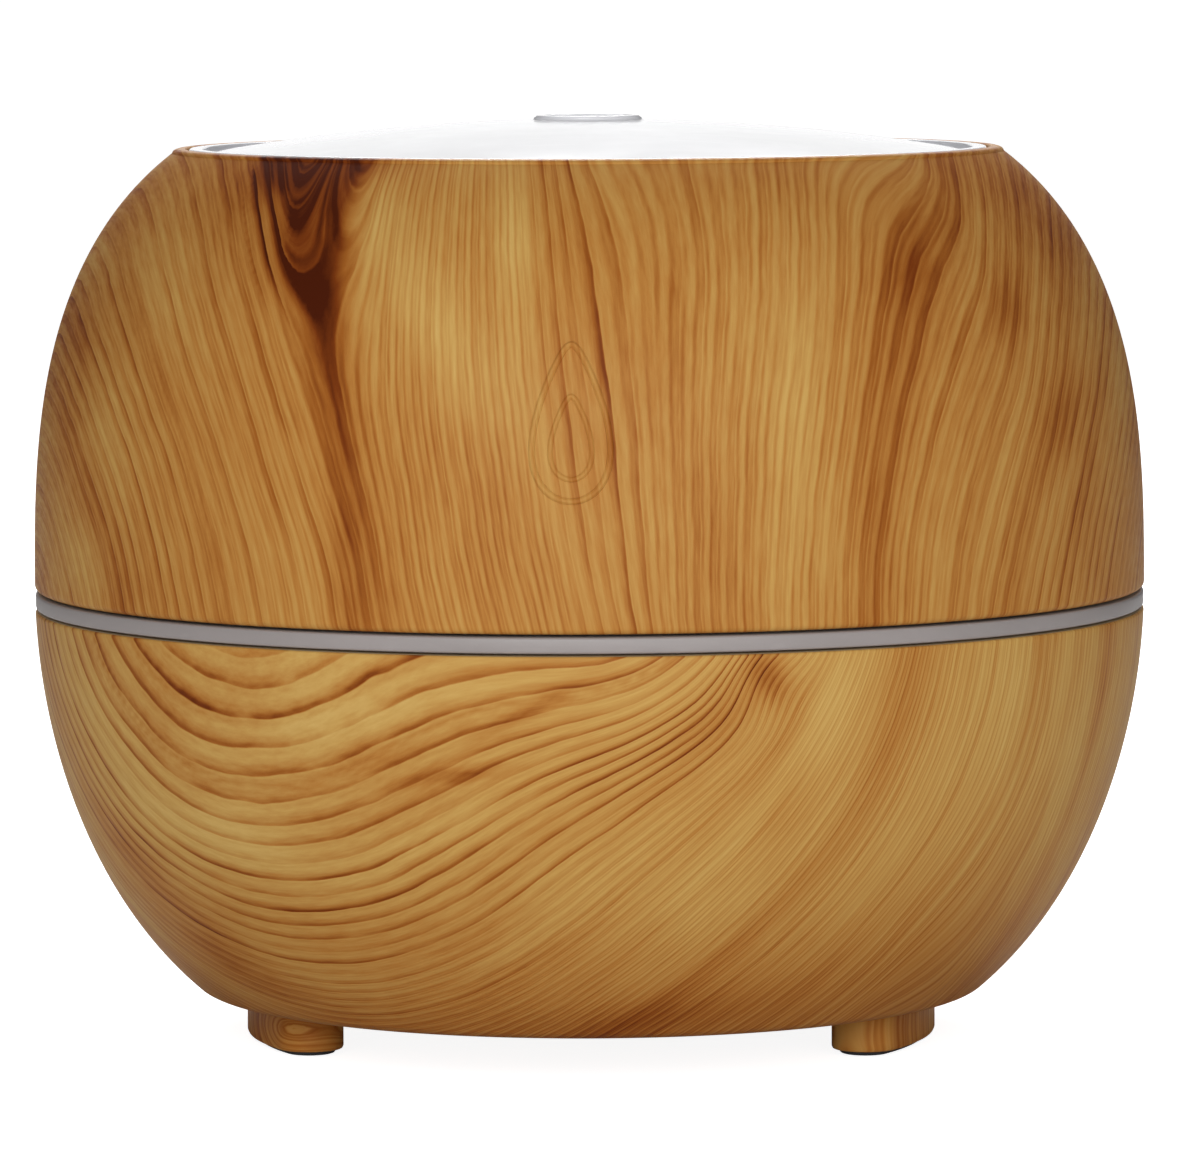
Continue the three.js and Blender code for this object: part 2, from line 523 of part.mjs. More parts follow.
function rear() {
  const group = new THREE.Group();
  group.add(part('mist_button', button(-1), glossWhite()));
  group.add(part('light_button', button(1), glossWhite()));
  group.add(part('mist_switch', tactSwitch(-1), blackPlastic()));
  group.add(part('light_switch', tactSwitch(1), blackPlastic()));
  group.add(part('key_board', keyBoard(), boardGreen()));
  const { jack, nut } = dcJack();
  group.add(part('dc_jack', jack, blackPlastic()));
  group.add(part('jack_nut', nut, steel()));
  return group;
}

// ---------------------------------------------------------------- leads inside the base

function leads() {
  const group = new THREE.Group();
  const plugged = (x, y) => [[x, y, 19.2], [x, y, 18], [x, y, PARTS_Z + 2.2]];
  const routes = {
    fan_lead: [[-3.7, -13, 14.5], [-5.5, -11.5, 17], [-7.6, -7.6, 19.2], ...plugged(-8, -5)],
    jack_lead: [[0, 29.5, 15.5], [-2, 24, 16.2], [-6, 13, 18], [-7.6, 6.5, 19], ...plugged(-8, 3)],
    disc_lead: [[-12, 0, 23.7], [-12, 1.2, 20.6], [-14, 6, 19.4], ...plugged(-16, 9)],
    led_lead: [[-30, 46.4, 43], [-30, 43, 36], [-31, 40, 28], [-21, 28, 18], [-19, 18.5, 14.5]],
    key_lead: [[-12, 50.2, 28.8], [-14, 46, 23], [-17, 32, 16], [-13.5, 22, 14], [-12, 18.5, 13.2]],
  };
  for (const [name, points] of Object.entries(routes)) {
    group.add(part(name, lead(points), name === 'jack_lead' ? leadRed() : blackPlastic()));
  }
  return group;
}

const diffuser = new THREE.Group();
diffuser.add(lid(), housing(), part('water_tank', waterTank(), milkyWhite()), transducer(), fan(),
  electronics(), rear(), leads());

export default diffuser;
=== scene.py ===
import bpy
import numpy as np
from mathutils import Matrix, Vector


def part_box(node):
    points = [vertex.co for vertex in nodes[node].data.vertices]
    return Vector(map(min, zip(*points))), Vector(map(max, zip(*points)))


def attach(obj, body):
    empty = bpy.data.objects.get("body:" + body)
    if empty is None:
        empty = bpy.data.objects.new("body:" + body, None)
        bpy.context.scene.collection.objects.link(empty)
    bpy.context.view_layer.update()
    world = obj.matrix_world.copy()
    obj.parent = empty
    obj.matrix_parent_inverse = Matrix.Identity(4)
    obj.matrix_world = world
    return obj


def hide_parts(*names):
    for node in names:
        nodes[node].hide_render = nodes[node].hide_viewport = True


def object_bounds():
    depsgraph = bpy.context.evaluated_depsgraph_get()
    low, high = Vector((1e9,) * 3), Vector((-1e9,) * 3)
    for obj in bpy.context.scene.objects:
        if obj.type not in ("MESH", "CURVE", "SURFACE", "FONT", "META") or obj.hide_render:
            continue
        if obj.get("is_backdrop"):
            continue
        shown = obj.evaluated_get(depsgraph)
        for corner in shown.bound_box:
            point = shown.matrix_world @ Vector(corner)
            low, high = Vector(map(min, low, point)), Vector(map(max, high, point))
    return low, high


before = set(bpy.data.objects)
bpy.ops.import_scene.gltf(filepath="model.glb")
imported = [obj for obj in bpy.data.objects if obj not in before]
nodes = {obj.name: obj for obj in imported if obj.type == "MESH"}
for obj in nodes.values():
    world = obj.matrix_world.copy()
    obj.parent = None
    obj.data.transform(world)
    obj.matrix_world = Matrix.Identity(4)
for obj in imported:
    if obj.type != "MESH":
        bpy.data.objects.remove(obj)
cad_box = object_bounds()

# ---------------------------------------------------------------------------------------------
# Studio: a pale table top that runs up into a pale wall, one large soft light at the front left,
# a fill at the right and a soft light from above. The camera is a long lens just above the rim.

MM = 0.001

low, high = cad_box
BODY_R = (high[0] - low[0]) / 2
HEIGHT = high[2]

camera = bpy.data.objects.new("camera", bpy.data.cameras.new("camera"))
camera.data.sensor_width = 36
camera.data.lens = 237.9
camera.location = (0, -0.912, 0.1311)
camera.rotation_euler = np.radians((90 - 4.85, 0.22, -0.0187))
camera.data.clip_end = 20
bpy.context.scene.collection.objects.link(camera)
bpy.context.scene.camera = camera
bpy.context.scene.view_settings.view_transform = "Standard"


def soft_light(name, place, size, watts, colour=(1, 1, 1)):
    """A square area light that points at the middle of the diffuser."""
    data = bpy.data.lights.new(name, "AREA")
    data.size, data.energy, data.color = size, watts, colour
    lamp = bpy.data.objects.new(name, data)
    lamp.location = place
    lamp.rotation_euler = (Vector((0, 0, HEIGHT / 2)) - Vector(place)).to_track_quat("-Z", "Y").to_euler()
    bpy.context.scene.collection.objects.link(lamp)


soft_light("key", (-0.25, -1.6, 0.55), 0.9, 12.8)
soft_light("fill", (0.5, -1.5, 0.3), 0.8, 5.8)
soft_light("top", (0, 0.8, 0.8), 0.5, 8)

world = bpy.data.worlds.new("studio")
bpy.context.scene.world = world
world.use_nodes = True
world.node_tree.nodes["Background"].inputs["Color"].default_value = (1, 1, 1, 1)
world.node_tree.nodes["Background"].inputs["Strength"].default_value = 0.14


SHEER = np.radians(30)


def put_mesh(name, points, faces):
    """A mesh object at the origin from corner points in metres and faces; sheer edges stay sharp."""
    mesh = bpy.data.meshes.new(name)
    mesh.from_pydata(points.tolist(), [], faces)
    mesh.update()
    mesh.shade_smooth()
    mesh.set_sharp_from_angle(angle=SHEER)
    made = bpy.data.objects.new(name, mesh)
    bpy.context.scene.collection.objects.link(made)
    return made


def paint(made, material):
    """The piece's one material."""
    made.data.materials.clear()
    made.data.materials.append(material)


def plain_material(name, colour, roughness):
    """A Principled material; returns it with its tree and its shader node."""
    material = bpy.data.materials.new(name)
    material.use_nodes = True
    shader = material.node_tree.nodes["Principled BSDF"]
    shader.inputs["Base Color"].default_value = (*colour, 1)
    shader.inputs["Roughness"].default_value = roughness
    return material, material.node_tree, shader


class Wiring:
    """Short forms for placing and joining the nodes of one tree."""

    def __init__(self, tree):
        self.tree = tree

    def add(self, kind, **settings):
        node = self.tree.nodes.new("ShaderNode" + kind)
        for key, value in settings.items():
            setattr(node, key, value)
        return node

    def feed(self, socket, source):
        if isinstance(source, bpy.types.NodeSocket):
            self.tree.links.new(source, socket)
        else:
            socket.default_value = source

    def math(self, operation, *sources):
        node = self.add("Math", operation=operation)
        for socket, source in zip(node.inputs, sources):
            self.feed(socket, source)
        return node.outputs[0]

    def times(self, first, second):
        return self.math("MULTIPLY", first, second)

    def times_plus(self, first, second, third):
        return self.math("MULTIPLY_ADD", first, second, third)

    def span(self, value, from_low, from_high, to_low=0.0, to_high=1.0, smooth=False):
        node = self.add("MapRange", interpolation_type="SMOOTHSTEP" if smooth else "LINEAR")
        for socket, source in zip(node.inputs, (value, from_low, from_high, to_low, to_high)):
            self.feed(socket, source)
        return node.outputs[0]

    def noise(self, vector, scale, detail=2.0, rough=0.5):
        node = self.add("TexNoise")
        for name, source in zip(("Vector", "Scale", "Detail", "Roughness"), (vector, scale, detail, rough)):
            self.feed(node.inputs[name], source)
        return node.outputs[0]

    def vector(self, x, y, z=0.0):
        node = self.add("CombineXYZ")
        for socket, source in zip(node.inputs, (x, y, z)):
            self.feed(socket, source)
        return node.outputs[0]

    def ramp(self, value, stops):
        node = self.add("ValToRGB")
        while len(node.color_ramp.elements) < len(stops):
            node.color_ramp.elements.new(0.5)
        for element, (place, colour) in zip(node.color_ramp.elements, stops):
            element.position, element.color = place, (*colour, 1)
        self.feed(node.inputs[0], value)
        return node.outputs[0]

    def tint(self, colour, factor, second, kind="MIX"):
        node = self.add("Mix", data_type="RGBA", blend_type=kind)
        for socket, source in ((node.inputs[0], factor), (node.inputs[6], colour), (node.inputs[7], second)):
            self.feed(socket, source)
        return node.outputs[2]

    def bump(self, height, distance, strength=1.0):
        node = self.add("Bump")
        for socket, source in (("Height", height), ("Distance", distance), ("Strength", strength)):
            self.feed(node.inputs[socket], source)
        return node.outputs[0]


# Rays from the camera see the table and the wall glow evenly white, and so do mirrored rays that meet the
# wall behind the diffuser; from below the table is clear.
sweep = np.linspace(0, np.pi / 2, 24)
floor_line = np.stack([np.concatenate([[-3.0], 1.6 + np.sin(sweep), [2.6]]),
                       np.concatenate([[0.0], 1.0 - np.cos(sweep), [3.0]])], 1)
floor_points = np.concatenate([np.insert(floor_line, 0, x, axis=1) for x in (-4.0, 4.0)]) - (0, 0, 0.1 * MM)
count = len(floor_line)
floor = put_mesh("table_top", floor_points, [(i, i + count, i + 1 + count, i + 1) for i in range(count - 1)])
pale, tree, shader = plain_material("pale_table", (0.7, 0.7, 0.7), 0.7)
w = Wiring(tree)
ray = w.add("LightPath").outputs
place = w.add("SeparateXYZ")
w.feed(place.inputs[0], w.add("TexCoord").outputs["Object"])
on_wall = w.times(w.math("LESS_THAN", w.math("ABSOLUTE", place.outputs["X"]), 0.5),
                  w.math("GREATER_THAN", place.outputs["Z"], 0.1))
seen = w.math("MAXIMUM", ray["Is Camera Ray"], w.times(ray["Is Glossy Ray"], on_wall))
w.feed(shader.inputs["Emission Strength"], w.times(seen, 0.9))
shader.inputs["Emission Color"].default_value = (1, 1, 1, 1)
sides = w.add("MixShader")
for socket, source in zip(sides.inputs, (w.add("NewGeometry").outputs["Backfacing"], shader.outputs[0],
                                         w.add("BsdfTransparent").outputs[0])):
    w.feed(socket, source)
w.feed(tree.nodes["Material Output"].inputs["Surface"], sides.outputs[0])
paint(floor, pale)
floor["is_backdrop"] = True

# ---------------------------------------------------------------------------------------------
# Upper cover: a moulded ABS shell that lifts off, open at the top. A wood-grain film is shrunk
# onto its outside and over the rim; the inside is bare beige plastic. A plain water drop is raised
# on the front, under the film.

WALL = 2.2 * MM
COVER_Z, RIM_Z = (corner[2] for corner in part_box("upper_cover"))
COVER_SPAN = 60.4 * MM
OPENING_R = 46.9 * MM
EDGE_R = 0.7 * MM


def cover_radius(z):
    """Superellipse: radius falls from the widest at the joint as the height over the joint grows."""
    return BODY_R * (1 - (np.maximum(z - COVER_Z, 0) / COVER_SPAN) ** 2.8) ** (1 / 3.3)


def rise(start, end, steps):
    """Heights from start to end that lie closer together towards the end, as a sine."""
    return start + (end - start) * np.sin(np.linspace(0, np.pi / 2, steps))


def along_form(radius_at, heights, inset=0.0):
    """(radius, height) points of an outside form, moved inwards along the form's own normal."""
    slope = (radius_at(heights + 1e-5) - radius_at(heights - 1e-5)) / 2e-5
    scale = inset / np.hypot(1, slope)
    return np.stack([radius_at(heights) - scale, heights + scale * slope], 1)


def bend(centre, radii, start, end, steps=6):
    """Points of an arc about centre, from start to end degrees, with one radius or two."""
    a = np.radians(np.linspace(start, end, steps))
    return np.array(centre) + np.stack([np.cos(a), np.sin(a)], 1) * radii


def turn(name, outline, columns=420):
    """A solid of revolution. Each (radius, height) point of the outline sweeps one ring of the grid, and an
    outline that starts or ends on the axis is closed there by a flat disc. The outline runs anticlockwise
    with the radius to the right, so that the faces point outwards."""
    angle = np.arange(columns) * 2 * np.pi / columns - np.pi / 2
    off_axis = outline[outline[:, 0] > 1e-9]
    points = np.concatenate([off_axis[:, :1, None] * np.stack([np.cos(angle), np.sin(angle)], 1),
                             np.broadcast_to(off_axis[:, 1, None, None], (len(off_axis), columns, 1))], 2)
    step = np.arange(columns)
    ahead = (step + 1) % columns
    closed = len(off_axis) == len(outline)
    here = np.arange(len(off_axis) if closed else len(off_axis) - 1)[:, None] * columns
    above = (here + columns) % (len(off_axis) * columns)
    faces = np.stack([here + step, here + ahead, above + ahead, above + step], 2).reshape(-1, 4).tolist()
    if not closed:
        faces += [step[::-1].tolist(), ((len(off_axis) - 1) * columns + step).tolist()]
    return put_mesh(name, points.reshape(-1, 3), faces)


def carve(made, operation, tools):
    """The piece joined with (UNION), cut by (DIFFERENCE) or kept only within (INTERSECT) closed tool shapes,
    which are used up."""
    for tool in tools:
        change = made.modifiers.new(tool.name, "BOOLEAN")
        change.operation, change.object, change.solver = operation, tool, "MANIFOLD"
    made.data = bpy.data.meshes.new_from_object(made.evaluated_get(bpy.context.evaluated_depsgraph_get()))
    made.modifiers.clear()
    for tool in tools:
        bpy.data.objects.remove(tool)
    made.data.shade_smooth()
    made.data.set_sharp_from_angle(angle=SHEER)
    return made


def ring_bead(name, centre, normal, radius, sides=10):
    """A closed ring-shaped bead: a circle swept round a closed line of centre points, square to the line."""
    along = np.roll(centre, -1, 0) - np.roll(centre, 1, 0)
    along /= np.linalg.norm(along, axis=1)[:, None]
    across = np.cross(normal, along)
    a = (np.arange(sides) * 2 * np.pi / sides)[None, :, None]
    points = centre[:, None] + radius * (np.cos(a) * across[:, None] + np.sin(a) * normal[:, None])
    i, j = np.arange(len(centre))[:, None], np.arange(sides)[None]
    i2, j2 = (i + 1) % len(centre), (j + 1) % sides
    faces = np.stack(np.broadcast_arrays(i * sides + j, i2 * sides + j, i2 * sides + j2, i * sides + j2), 2)
    return put_mesh(name, points.reshape(-1, 3), faces.reshape(-1, 4).tolist())


inner_top = RIM_Z - 2.9 * MM
lining = along_form(cover_radius, rise(COVER_Z, RIM_Z - 2.2 * MM, 30), WALL)
lining = lining[lining[:, 1] < inner_top - 0.3 * MM][::-1]
side = along_form(cover_radius, rise(COVER_Z + EDGE_R, RIM_Z - 0.55 * MM, 86))
cover_outline = np.concatenate([
    [[BODY_R - WALL, COVER_Z]], bend((BODY_R - EDGE_R, COVER_Z + EDGE_R), EDGE_R, -90, -8), side,
    bend((side[-1, 0] - 0.95 * MM, side[-1, 1]), (0.95 * MM, 0.55 * MM), 18, 90, 5),
    [[OPENING_R + 0.3 * MM, RIM_Z]],
    bend((OPENING_R + 0.3 * MM, RIM_Z - 0.3 * MM), 0.3 * MM, 108, 180, 4),
    [[OPENING_R, RIM_Z - 1.4 * MM], [OPENING_R - 1 * MM, RIM_Z - 1.4 * MM], [OPENING_R - 1 * MM, inner_top],
     [lining[0, 0] - 0.3 * MM, inner_top]], lining[:-1]])
cover = turn("cover_shell", cover_outline)


def drop_line(height, steps=120):
    """Outline of a water drop about its middle: a circle whose upper half is drawn out to a point."""
    t = np.arange(steps) * 2 * np.pi / steps
    return height * np.stack([0.34 * np.sin(t) * (0.36 + 0.64 * np.sin(t / 2) ** 1.8), 0.5 * np.cos(t)], 1)


def on_cover(across, up, lift):
    """Points of the cover's outside over a flat drawing in metres, and the surface normal there."""
    r = cover_radius(up)
    slope = (cover_radius(up + 1e-5) - cover_radius(up - 1e-5)) / 2e-5
    a = across / BODY_R - np.pi / 2
    normal = np.stack([np.cos(a), np.sin(a), -slope], 1) / np.hypot(1, slope)[:, None]
    return np.stack([r * np.cos(a), r * np.sin(a), up], 1) + lift * normal, normal


# The film's print: growth rings sweep up and out on either side of nearly straight grain at the front,
# and a dark knot sits under the rim with a streak running down from it. Places on the print are in
# millimetres: round the body from the front, and along the surface away from the joint.

HALF_TURN = 65 * np.pi


def blend_in(low_edge, high_edge, value):
    """0 below the low edge, 1 above the high edge, and an S-curve between."""
    t = np.clip((value - low_edge) / (high_edge - low_edge), 0, 1)
    return t * t * (3 - 2 * t)


def spot(around, along, centre, size, tilt=0):
    """A soft elliptical spot: 1 at its centre, fading as a bell curve; tilt turns it, in degrees."""
    turned = np.radians(tilt)
    a, b = around - centre[0], along - centre[1]
    u = (a * np.cos(turned) + b * np.sin(turned)) / size[0]
    v = (b * np.cos(turned) - a * np.sin(turned)) / size[1]
    return np.exp(-u * u - v * v)


def spots(around, along, marks):
    """Sum of soft spots, each with a strength, a centre, a size and a tilt."""
    return sum(mark[0] * spot(around, along, *mark[1:]) for mark in marks)


def whorl(around, along, centre, squash):
    """Distance from a whorl's centre, round the body the short way, and the angle about it."""
    a = (around - centre[0] + HALF_TURN) % (2 * HALF_TURN) - HALF_TURN
    b = (along - centre[1]) / squash
    return np.hypot(a, b), np.arctan2(b, a)


def stripes(flow, lines):
    """Sum of soft stripes along the grain, each with a place, a width and a strength."""
    return sum(strength * np.exp(-((flow - place) / width) ** 2) for place, width, strength in lines)


def cover_print(around, up):
    """Ring count, place along the grain, darkness, paleness and line strength of the print on the cover."""
    streak_line = -26 - 14.5 * (np.clip(up, 0, 60) / 54) ** 1.6
    left_part = 1 - blend_in(streak_line - 6, streak_line + 9, around)
    right_part = blend_in(24, 58, around)
    behind = around % (2 * HALF_TURN) - HALF_TURN
    back = np.abs(around) > HALF_TURN / 2
    right_part = np.where(back, 1 - blend_in(-40, 40, behind), right_part)
    left_part = np.where(back, 1 - right_part, left_part)

    turned = around / 65
    a = around + 0.7 * np.sin(4 * turned + up / 23) + 0.5 * np.sin(up / 9 + 2 * turned)
    left, left_angle = whorl(a, up, (-92, -12), 1.15)
    right, right_angle = whorl(a, up, (100, -10), 1.15)
    slant = 0.145 * (1 - blend_in(-4, 14, around)) - 0.0026 * up * blend_in(8, 30, around)
    middle_part = 1 - left_part - right_part
    flow = left_part * (left - 92) + right_part * (100 - right) + middle_part * (a + slant * up)
    along = left_part * left_angle * 60 + right_part * (np.pi - right_angle) * 60 + middle_part * up

    streak = np.exp(-((around - streak_line) / (1.6 + 0.05 * up)) ** 2)
    streak *= 0.42 + 0.75 * blend_in(0, 38, up)
    edge = (around + 58) * 0.80 + (up - 56) * 0.60
    feather = blend_in(0, 1.2, edge) * (1 - blend_in(6, 11, edge)) * blend_in(32, 42, up)
    knot = spots(around, up, ((2.2, (-44.5, 58), (9.5, 6.5)), (1.2, (-38, 46), (4.4, 8), 12)))
    knot = np.clip(knot, 0, 1.4)
    bands = stripes(flow, ((-61, 3, 0.22), (-53, 1.2, 0.2), (-43, 1.0, 0.22), (-28, 1.2, 0.14), (3, 4, 0.1),
                           (19, 1.2, 0.08), (33, 2.6, 0.24), (44, 1.2, 0.2),
                           (52, 2.2, 0.16), (61, 1.6, 0.2), (73, 3, 0.2)))
    bands = bands + stripes(around, ((112, 3, 0.2), (140, 5, 0.22), (178, 4, 0.2), (-118, 4, 0.22),
                                     (-150, 3, 0.2)))
    blots = spots(around, up, (
        (0.5, (58, 35), (6.5, 3.2), 50), (0.36, (66, 22), (7, 3), 45),
        (0.36, (43, 41), (9, 3.6), 58), (0.3, (-86, 32), (12, 5), -20), (0.3, (78, 46), (16, 6), 12),
        (0.24, (150, 30), (8, 5), 70), (0.2, (12, 52), (10, 6), 90), (0.2, (-78, 52), (24, 9)),
        (0.16, (76, 54), (26, 10))))
    dark = np.clip(knot + 0.85 * streak + 0.3 * feather + bands + blots, 0, 1.15)
    pale = spots(around, up, (
        (0.75, (-17, 33), (13, 4.5), 122), (0.6, (-10, 46), (12, 2.6), 98),
        (0.45, (-28, 47), (7, 3), 110), (0.4, (24, 26), (22, 5), 88), (0.3, (52, 14), (14, 4), 70),
        (0.5, (-74, 8), (9, 4), -40), (0.3, (-66, 20), (14, 3), -50), (0.3, (150, 20), (20, 9), 80)))
    bundle = blend_in(-2.5, -1.0, flow) * (1 - blend_in(6, 10, flow)) * (1 - right_part)
    bold = (0.38 + 0.55 * bundle + 0.3 * stripes(flow, ((-45, 9, 0.8), (62, 12, 0.7))) + 1.5 * feather
            + 0.25 * left_part + 0.3 * right_part)
    bold = bold * (1 - 0.95 * np.clip(knot, 0, 1)) * (1 - 0.5 * np.clip(streak, 0, 1))
    return flow / 1.9, along, dark, pale, bold


def arc_length(radius_at, heights):
    """Length along a form up to each height, in millimetres."""
    return np.concatenate([[0], np.cumsum(np.hypot(np.diff(radius_at(heights)), np.diff(heights)))]) / MM


def corners(made):
    """The x, y and z of a piece's corner points."""
    co = np.empty(len(made.data.vertices) * 3, np.float32)
    made.data.vertices.foreach_get("co", co)
    return co.reshape(-1, 3).astype(float).T


def print_film(made, pattern, radius_at, from_z, to_z):
    """Stores the print's values at every corner point of a piece, as attributes that its film reads."""
    x, y, z = corners(made)
    heights = np.linspace(from_z, to_z, 600)
    away = np.interp(np.abs(z - from_z), np.abs(heights - from_z), arc_length(radius_at, heights))
    values = pattern(BODY_R / MM * np.arctan2(x, -y), away)
    for name, value in zip(("rings", "along", "dark", "pale", "bold"), values):
        layer = made.data.attributes.new(name, "FLOAT", "POINT")
        layer.data.foreach_set("value", np.broadcast_to(value, x.shape).astype(np.float32))


print_film(cover, cover_print, cover_radius, COVER_Z, RIM_Z)


def new_group(name, inputs, outputs):
    """An empty shader node group with its sockets: its wiring, its input node and its output node."""
    group = bpy.data.node_groups.new(name, "ShaderNodeTree")
    for direction, sockets in (("INPUT", inputs), ("OUTPUT", outputs)):
        for socket_name, kind in sockets:
            group.interface.new_socket(socket_name, in_out=direction, socket_type="NodeSocket" + kind)
    given, made_of = (group.nodes.new("NodeGroup" + end) for end in ("Input", "Output"))
    return Wiring(group), given.outputs, made_of.inputs


def display(red, green, blue):
    """A colour given in display values of 0 to 255, as linear light."""
    c = np.array([red, green, blue]) / 255
    return tuple(np.where(c < 0.04045, c / 12.92, ((c + 0.055) / 1.055) ** 2.4).tolist())


# One print tree: each ring darkens slowly and ends in a thin dark line whose strength differs from ring to
# ring. Finer rings, fibres and broad clouds lie over that, and the sum picks a colour, pale to dark wood.
w, given, made_of = new_group(
    "wood_print", [(name, "Float") for name in ("Rings", "Along", "Dark", "Pale", "Bold")],
    [("Color", "Color"), ("Height", "Float"), ("Roughness", "Float")])


def streaky(rings_scale, along_scale, detail=2.0, rough=0.5):
    """Noise drawn out along the wood's fibres."""
    at = w.vector(w.times(given["Rings"], rings_scale), w.times(given["Along"], along_scale))
    return w.noise(at, 1.0, detail, rough)


waver = w.math("SUBTRACT", w.noise(w.add("TexCoord").outputs["Object"], 60.0, 3.0), 0.5)
count_here = w.times_plus(waver, 0.8, given["Rings"])
through = w.math("FRACT", count_here)
dice = w.add("TexWhiteNoise", noise_dimensions="1D")
w.feed(dice.inputs["W"], w.math("FLOOR", count_here))
ring_strength = w.times(w.span(dice.outputs["Value"], 0.0, 1.0, 0.3, 1.0),
                        w.span(streaky(0.7, 0.05), 0.3, 0.6, 0.3, 1.0))
ring_strength = w.times(ring_strength, given["Bold"])
fall = w.span(through, 0.93, 1.0, 1.0, 0.0, smooth=True)
late = w.times(w.span(through, 0.25, 0.88, smooth=True), fall)
thin = w.times(w.span(through, 0.66, 0.9, smooth=True), fall)
line = w.times(w.times_plus(thin, 0.55, w.times(late, 0.45)), ring_strength)
hair_count = w.times_plus(waver, 1.6, w.times(given["Rings"], 2.0))
hair = w.times_plus(w.math("SINE", w.times(hair_count, 6.2832)), 0.5, 0.5)
hair_patch = w.noise(w.vector(given["Rings"], w.times(given["Along"], 0.08)), 0.9)
hair = w.times(w.times(hair, hair), w.span(hair_patch, 0.25, 0.6, 0.25, 1.0))
fibre = streaky(6.0, 0.22, 4.0, 0.6)
cloud = streaky(0.2, 0.025, 3.0)
tone = w.times_plus(w.math("SUBTRACT", cloud, 0.5), 0.46, 0.31)
tone = w.times_plus(line, 0.52, tone)
tone = w.times_plus(hair, w.span(given["Bold"], 0.45, 1.0, 0.2, 0.05), tone)
tone = w.times_plus(w.math("SUBTRACT", fibre, 0.5), 0.30, tone)
tone = w.times_plus(w.times(given["Dark"], w.times_plus(late, 0.25, 0.8)), 0.55, tone)
tone = w.times_plus(given["Pale"], -0.30, tone)
w.feed(made_of["Color"], w.ramp(tone, (
    (0.00, display(224, 188, 112)), (0.20, display(210, 164, 90)), (0.42, display(193, 132, 63)),
    (0.60, display(168, 99, 38)), (0.80, display(130, 61, 19)), (1.00, display(80, 30, 10)))))
w.feed(made_of["Height"], w.times_plus(fibre, 0.5, w.times(line, -0.8)))
w.feed(made_of["Roughness"], w.span(fibre, 0.25, 0.75, 0.34, 0.5))
wood_print = w.tree


def wood_film():
    """Satin film: the print's colour, with the faintest relief of the grain."""
    material, tree, shader = plain_material("wood_film", (0.5, 0.3, 0.1), 0.42)
    w = Wiring(tree)
    film = w.add("Group", node_tree=wood_print)
    for socket in ("Rings", "Along", "Dark", "Pale", "Bold"):
        w.feed(film.inputs[socket], w.add("Attribute", attribute_name=socket.lower()).outputs["Fac"])
    w.feed(shader.inputs["Base Color"], film.outputs["Color"])
    w.feed(shader.inputs["Roughness"], film.outputs["Roughness"])
    w.feed(shader.inputs["Normal"], w.bump(film.outputs["Height"], 0.04 * MM))
    shader.inputs["Specular IOR Level"].default_value = 0.06
    return material


# Moulded surfaces: soft clouds of shade and gloss, a fine spark-eroded texture and a few hairline scuffs.
w, given, made_of = new_group(
    "moulded_skin", [("Texture", "Float"), ("Scuffs", "Float")],
    [("Shade", "Float"), ("Gloss", "Float"), ("Height", "Float")])
place = w.add("TexCoord").outputs["Object"]
clouds = w.noise(place, 45.0, 4.0)
grain = w.noise(place, given["Texture"], 2.0, 0.6)
stretch = w.add("Mapping")
w.feed(stretch.inputs["Vector"], place)
stretch.inputs["Rotation"].default_value = (0.4, 0.9, 0.6)
stretch.inputs["Scale"].default_value = (40, 900, 900)
scratches = w.times(w.span(w.noise(stretch.outputs[0], 1.0, 3.0), 0.62, 0.70), given["Scuffs"])
w.feed(made_of["Shade"], w.times_plus(scratches, 0.12, w.span(clouds, 0.3, 0.7, 0.93, 1.03)))
w.feed(made_of["Gloss"], w.times_plus(scratches, 0.25, w.span(clouds, 0.3, 0.7, -0.06, 0.06)))
w.feed(made_of["Height"], w.math("SUBTRACT", grain, scratches))
moulded_skin = w.tree


def moulded(name, colour, roughness, texture=4000.0, depth=0.006, scuffs=0.3, **sockets):
    """Moulded plastic, rubber or metal: a softly clouded colour with the moulded skin's gloss and relief."""
    material, tree, shader = plain_material(name, colour, roughness)
    w = Wiring(tree)
    skin = w.add("Group", node_tree=moulded_skin)
    skin.inputs["Texture"].default_value, skin.inputs["Scuffs"].default_value = texture, scuffs
    shade = w.vector(*(skin.outputs["Shade"],) * 3)
    w.feed(shader.inputs["Base Color"], w.tint(shade, 1.0, (*colour, 1), "MULTIPLY"))
    w.feed(shader.inputs["Roughness"], w.math("ADD", skin.outputs["Gloss"], roughness))
    w.feed(shader.inputs["Normal"], w.bump(skin.outputs["Height"], depth * MM))
    for socket, value in sockets.items():
        shader.inputs[socket.replace("_", " ")].default_value = value
    return material


def dress(made, body, slot, material, *replaced):
    """Paints a piece, fixes it to its body, and hides the CAD nodes it stands for. The slot is not used."""
    paint(made, material)
    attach(made, body)
    if replaced:
        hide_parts(*replaced)


def second_finish(made, material, where):
    """Gives a second material to the faces whose middle (x, y, z) passes a test."""
    made.data.materials.append(material)
    middle = np.empty(len(made.data.polygons) * 3, np.float32)
    made.data.polygons.foreach_get("center", middle)
    made.data.polygons.foreach_set("material_index", where(*middle.reshape(-1, 3).T).astype(np.int32))


